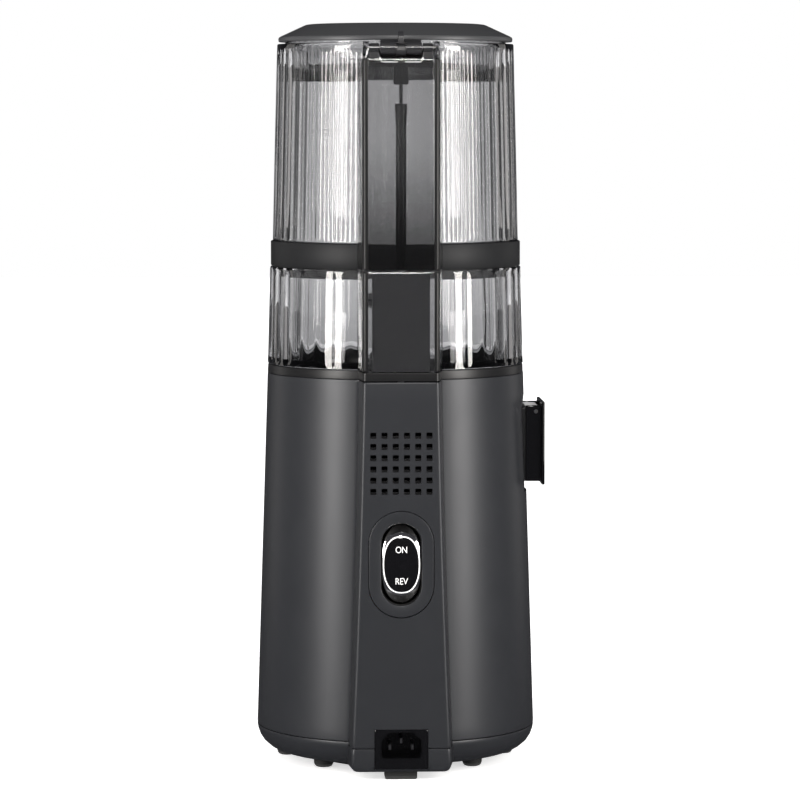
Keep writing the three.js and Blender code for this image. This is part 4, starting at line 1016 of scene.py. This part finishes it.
def card_ring(name, radius, color, height):
    """A tall ring of card. With no colour it is bright before and behind the object and dark at its sides."""
    look = bpy.data.materials.new(name)
    look.use_nodes = True
    tree = look.node_tree
    tree.nodes.clear()
    link = tree.links.new
    glow = tree.nodes.new("ShaderNodeEmission")
    out = tree.nodes.new("ShaderNodeOutputMaterial")
    link(glow.outputs["Emission"], out.inputs["Surface"])
    if color:
        glow.inputs["Color"].default_value = color
    else:
        where = tree.nodes.new("ShaderNodeTexCoord")
        split = tree.nodes.new("ShaderNodeSeparateXYZ")
        link(where.outputs["Object"], split.inputs["Vector"])
        size = tree.nodes.new("ShaderNodeMath")
        size.operation = "ABSOLUTE"
        link(split.outputs["X"], size.inputs[0])
        ramp = tree.nodes.new("ShaderNodeMapRange")
        ramp.interpolation_type = "SMOOTHSTEP"
        ramp.inputs["From Min"].default_value = radius * math.sin(math.radians(9))
        ramp.inputs["From Max"].default_value = radius * math.sin(math.radians(42))
        ramp.inputs["To Min"].default_value = 1.0
        ramp.inputs["To Max"].default_value = 0.1
        link(size.outputs["Value"], ramp.inputs["Value"])
        link(ramp.outputs["Result"], glow.inputs["Strength"])
    bm = bmesh.new()
    circle = [[c * radius for c in polar(1, 3 * k)] for k in range(120)]
    levels = [[bm.verts.new((x, y, z)) for x, y in circle] for z in (0.002, height)]
    for k in range(120):
        n = (k + 1) % 120
        bm.faces.new([levels[0][k], levels[0][n], levels[1][n], levels[1][k]])
    if color:
        bm.faces.new(levels[0])
        bm.faces.new(levels[1])
    mesh = bpy.data.meshes.new(name)
    bm.to_mesh(mesh)
    bm.free()
    mesh.materials.append(look)
    card = bpy.data.objects.new(name, mesh)
    bpy.context.scene.collection.objects.link(card)
    card.visible_camera = card.visible_diffuse = card.visible_shadow = card.visible_volume_scatter = False
    return card


def build_stage():
    scene = bpy.context.scene
    scene.view_settings.view_transform = "Standard"
    world = bpy.data.worlds.new("studio")
    scene.world = world
    world.use_nodes = True
    world.node_tree.nodes["Background"].inputs["Color"].default_value = (1, 1, 1, 1)
    world.node_tree.nodes["Background"].inputs["Strength"].default_value = 1.0

    floor_look = bpy.data.materials.new("floor_white")
    floor_look.use_nodes = True
    bsdf = floor_look.node_tree.nodes["Principled BSDF"]
    bsdf.inputs["Base Color"].default_value = (0.93, 0.93, 0.93, 1)
    bsdf.inputs["Roughness"].default_value = 0.6
    bsdf.inputs["Emission Color"].default_value = (1, 1, 1, 1)
    bsdf.inputs["Emission Strength"].default_value = 0.6
    bpy.ops.mesh.primitive_plane_add(size=14, location=(0, 0, 0))
    floor = bpy.context.object
    floor.name = "studio_floor"
    floor.data.materials.append(floor_look)

    # Cards round the object that only reflections see, and cards that only the clear plastic sees through to.
    gloss = card_ring("gloss_cards", 1.25, CARD_GLOSS, 1.3)
    gloss.visible_transmission = False
    beyond = card_ring("beyond_cards", 1.27, None, 1.3)
    beyond.visible_glossy = False

    def strip(name, angle, distance, width, height, power, z=0.3):
        light = bpy.data.lights.new(name, "AREA")
        light.shape = "RECTANGLE"
        light.size, light.size_y, light.energy = width, height, power
        light.color = (1.0, 0.97, 0.935)
        obj = bpy.data.objects.new(name, light)
        x, y = distance * math.sin(math.radians(angle)), distance * math.cos(math.radians(angle))
        obj.location = (x, y, z)
        obj.rotation_euler = (Vector((0, 0, 0.24)) - obj.location).to_track_quat("-Z", "Y").to_euler()
        obj.visible_camera = False
        scene.collection.objects.link(obj)

    strip("strip_left", 56, 1.15, 0.26, 1.0, 16)
    strip("strip_right", -56, 1.15, 0.26, 1.0, 16)
    strip("above", 0, 0.9, 0.12, 0.4, 4.0, 0.82)
    strip("front_left", 125, 1.15, 0.3, 1.0, 0.8)
    strip("front_right", -125, 1.15, 0.3, 1.0, 0.8)

    camera = bpy.data.cameras.new("camera")
    camera.sensor_width = 36
    camera.lens = 168.85
    camera.shift_x = 0.0058
    camera.clip_end = 50
    obj = bpy.data.objects.new("camera", camera)
    turn = math.radians(2.2)
    obj.location = (AXIS_X + 2.37 * math.sin(turn), AXIS_Y + 2.37 * math.cos(turn), 0.407)
    look = Vector((-math.sin(turn), -math.cos(turn), -math.tan(math.radians(4.35))))
    obj.rotation_euler = look.to_track_quat("-Z", "Y").to_euler()
    scene.collection.objects.link(obj)
    scene.camera = obj


build_base()
build_seat()
build_feet()
build_switch()
build_inlet()
build_bowl()
build_outlets()
build_screw()
show_insides()
build_hopper()
build_lid()
build_stage()
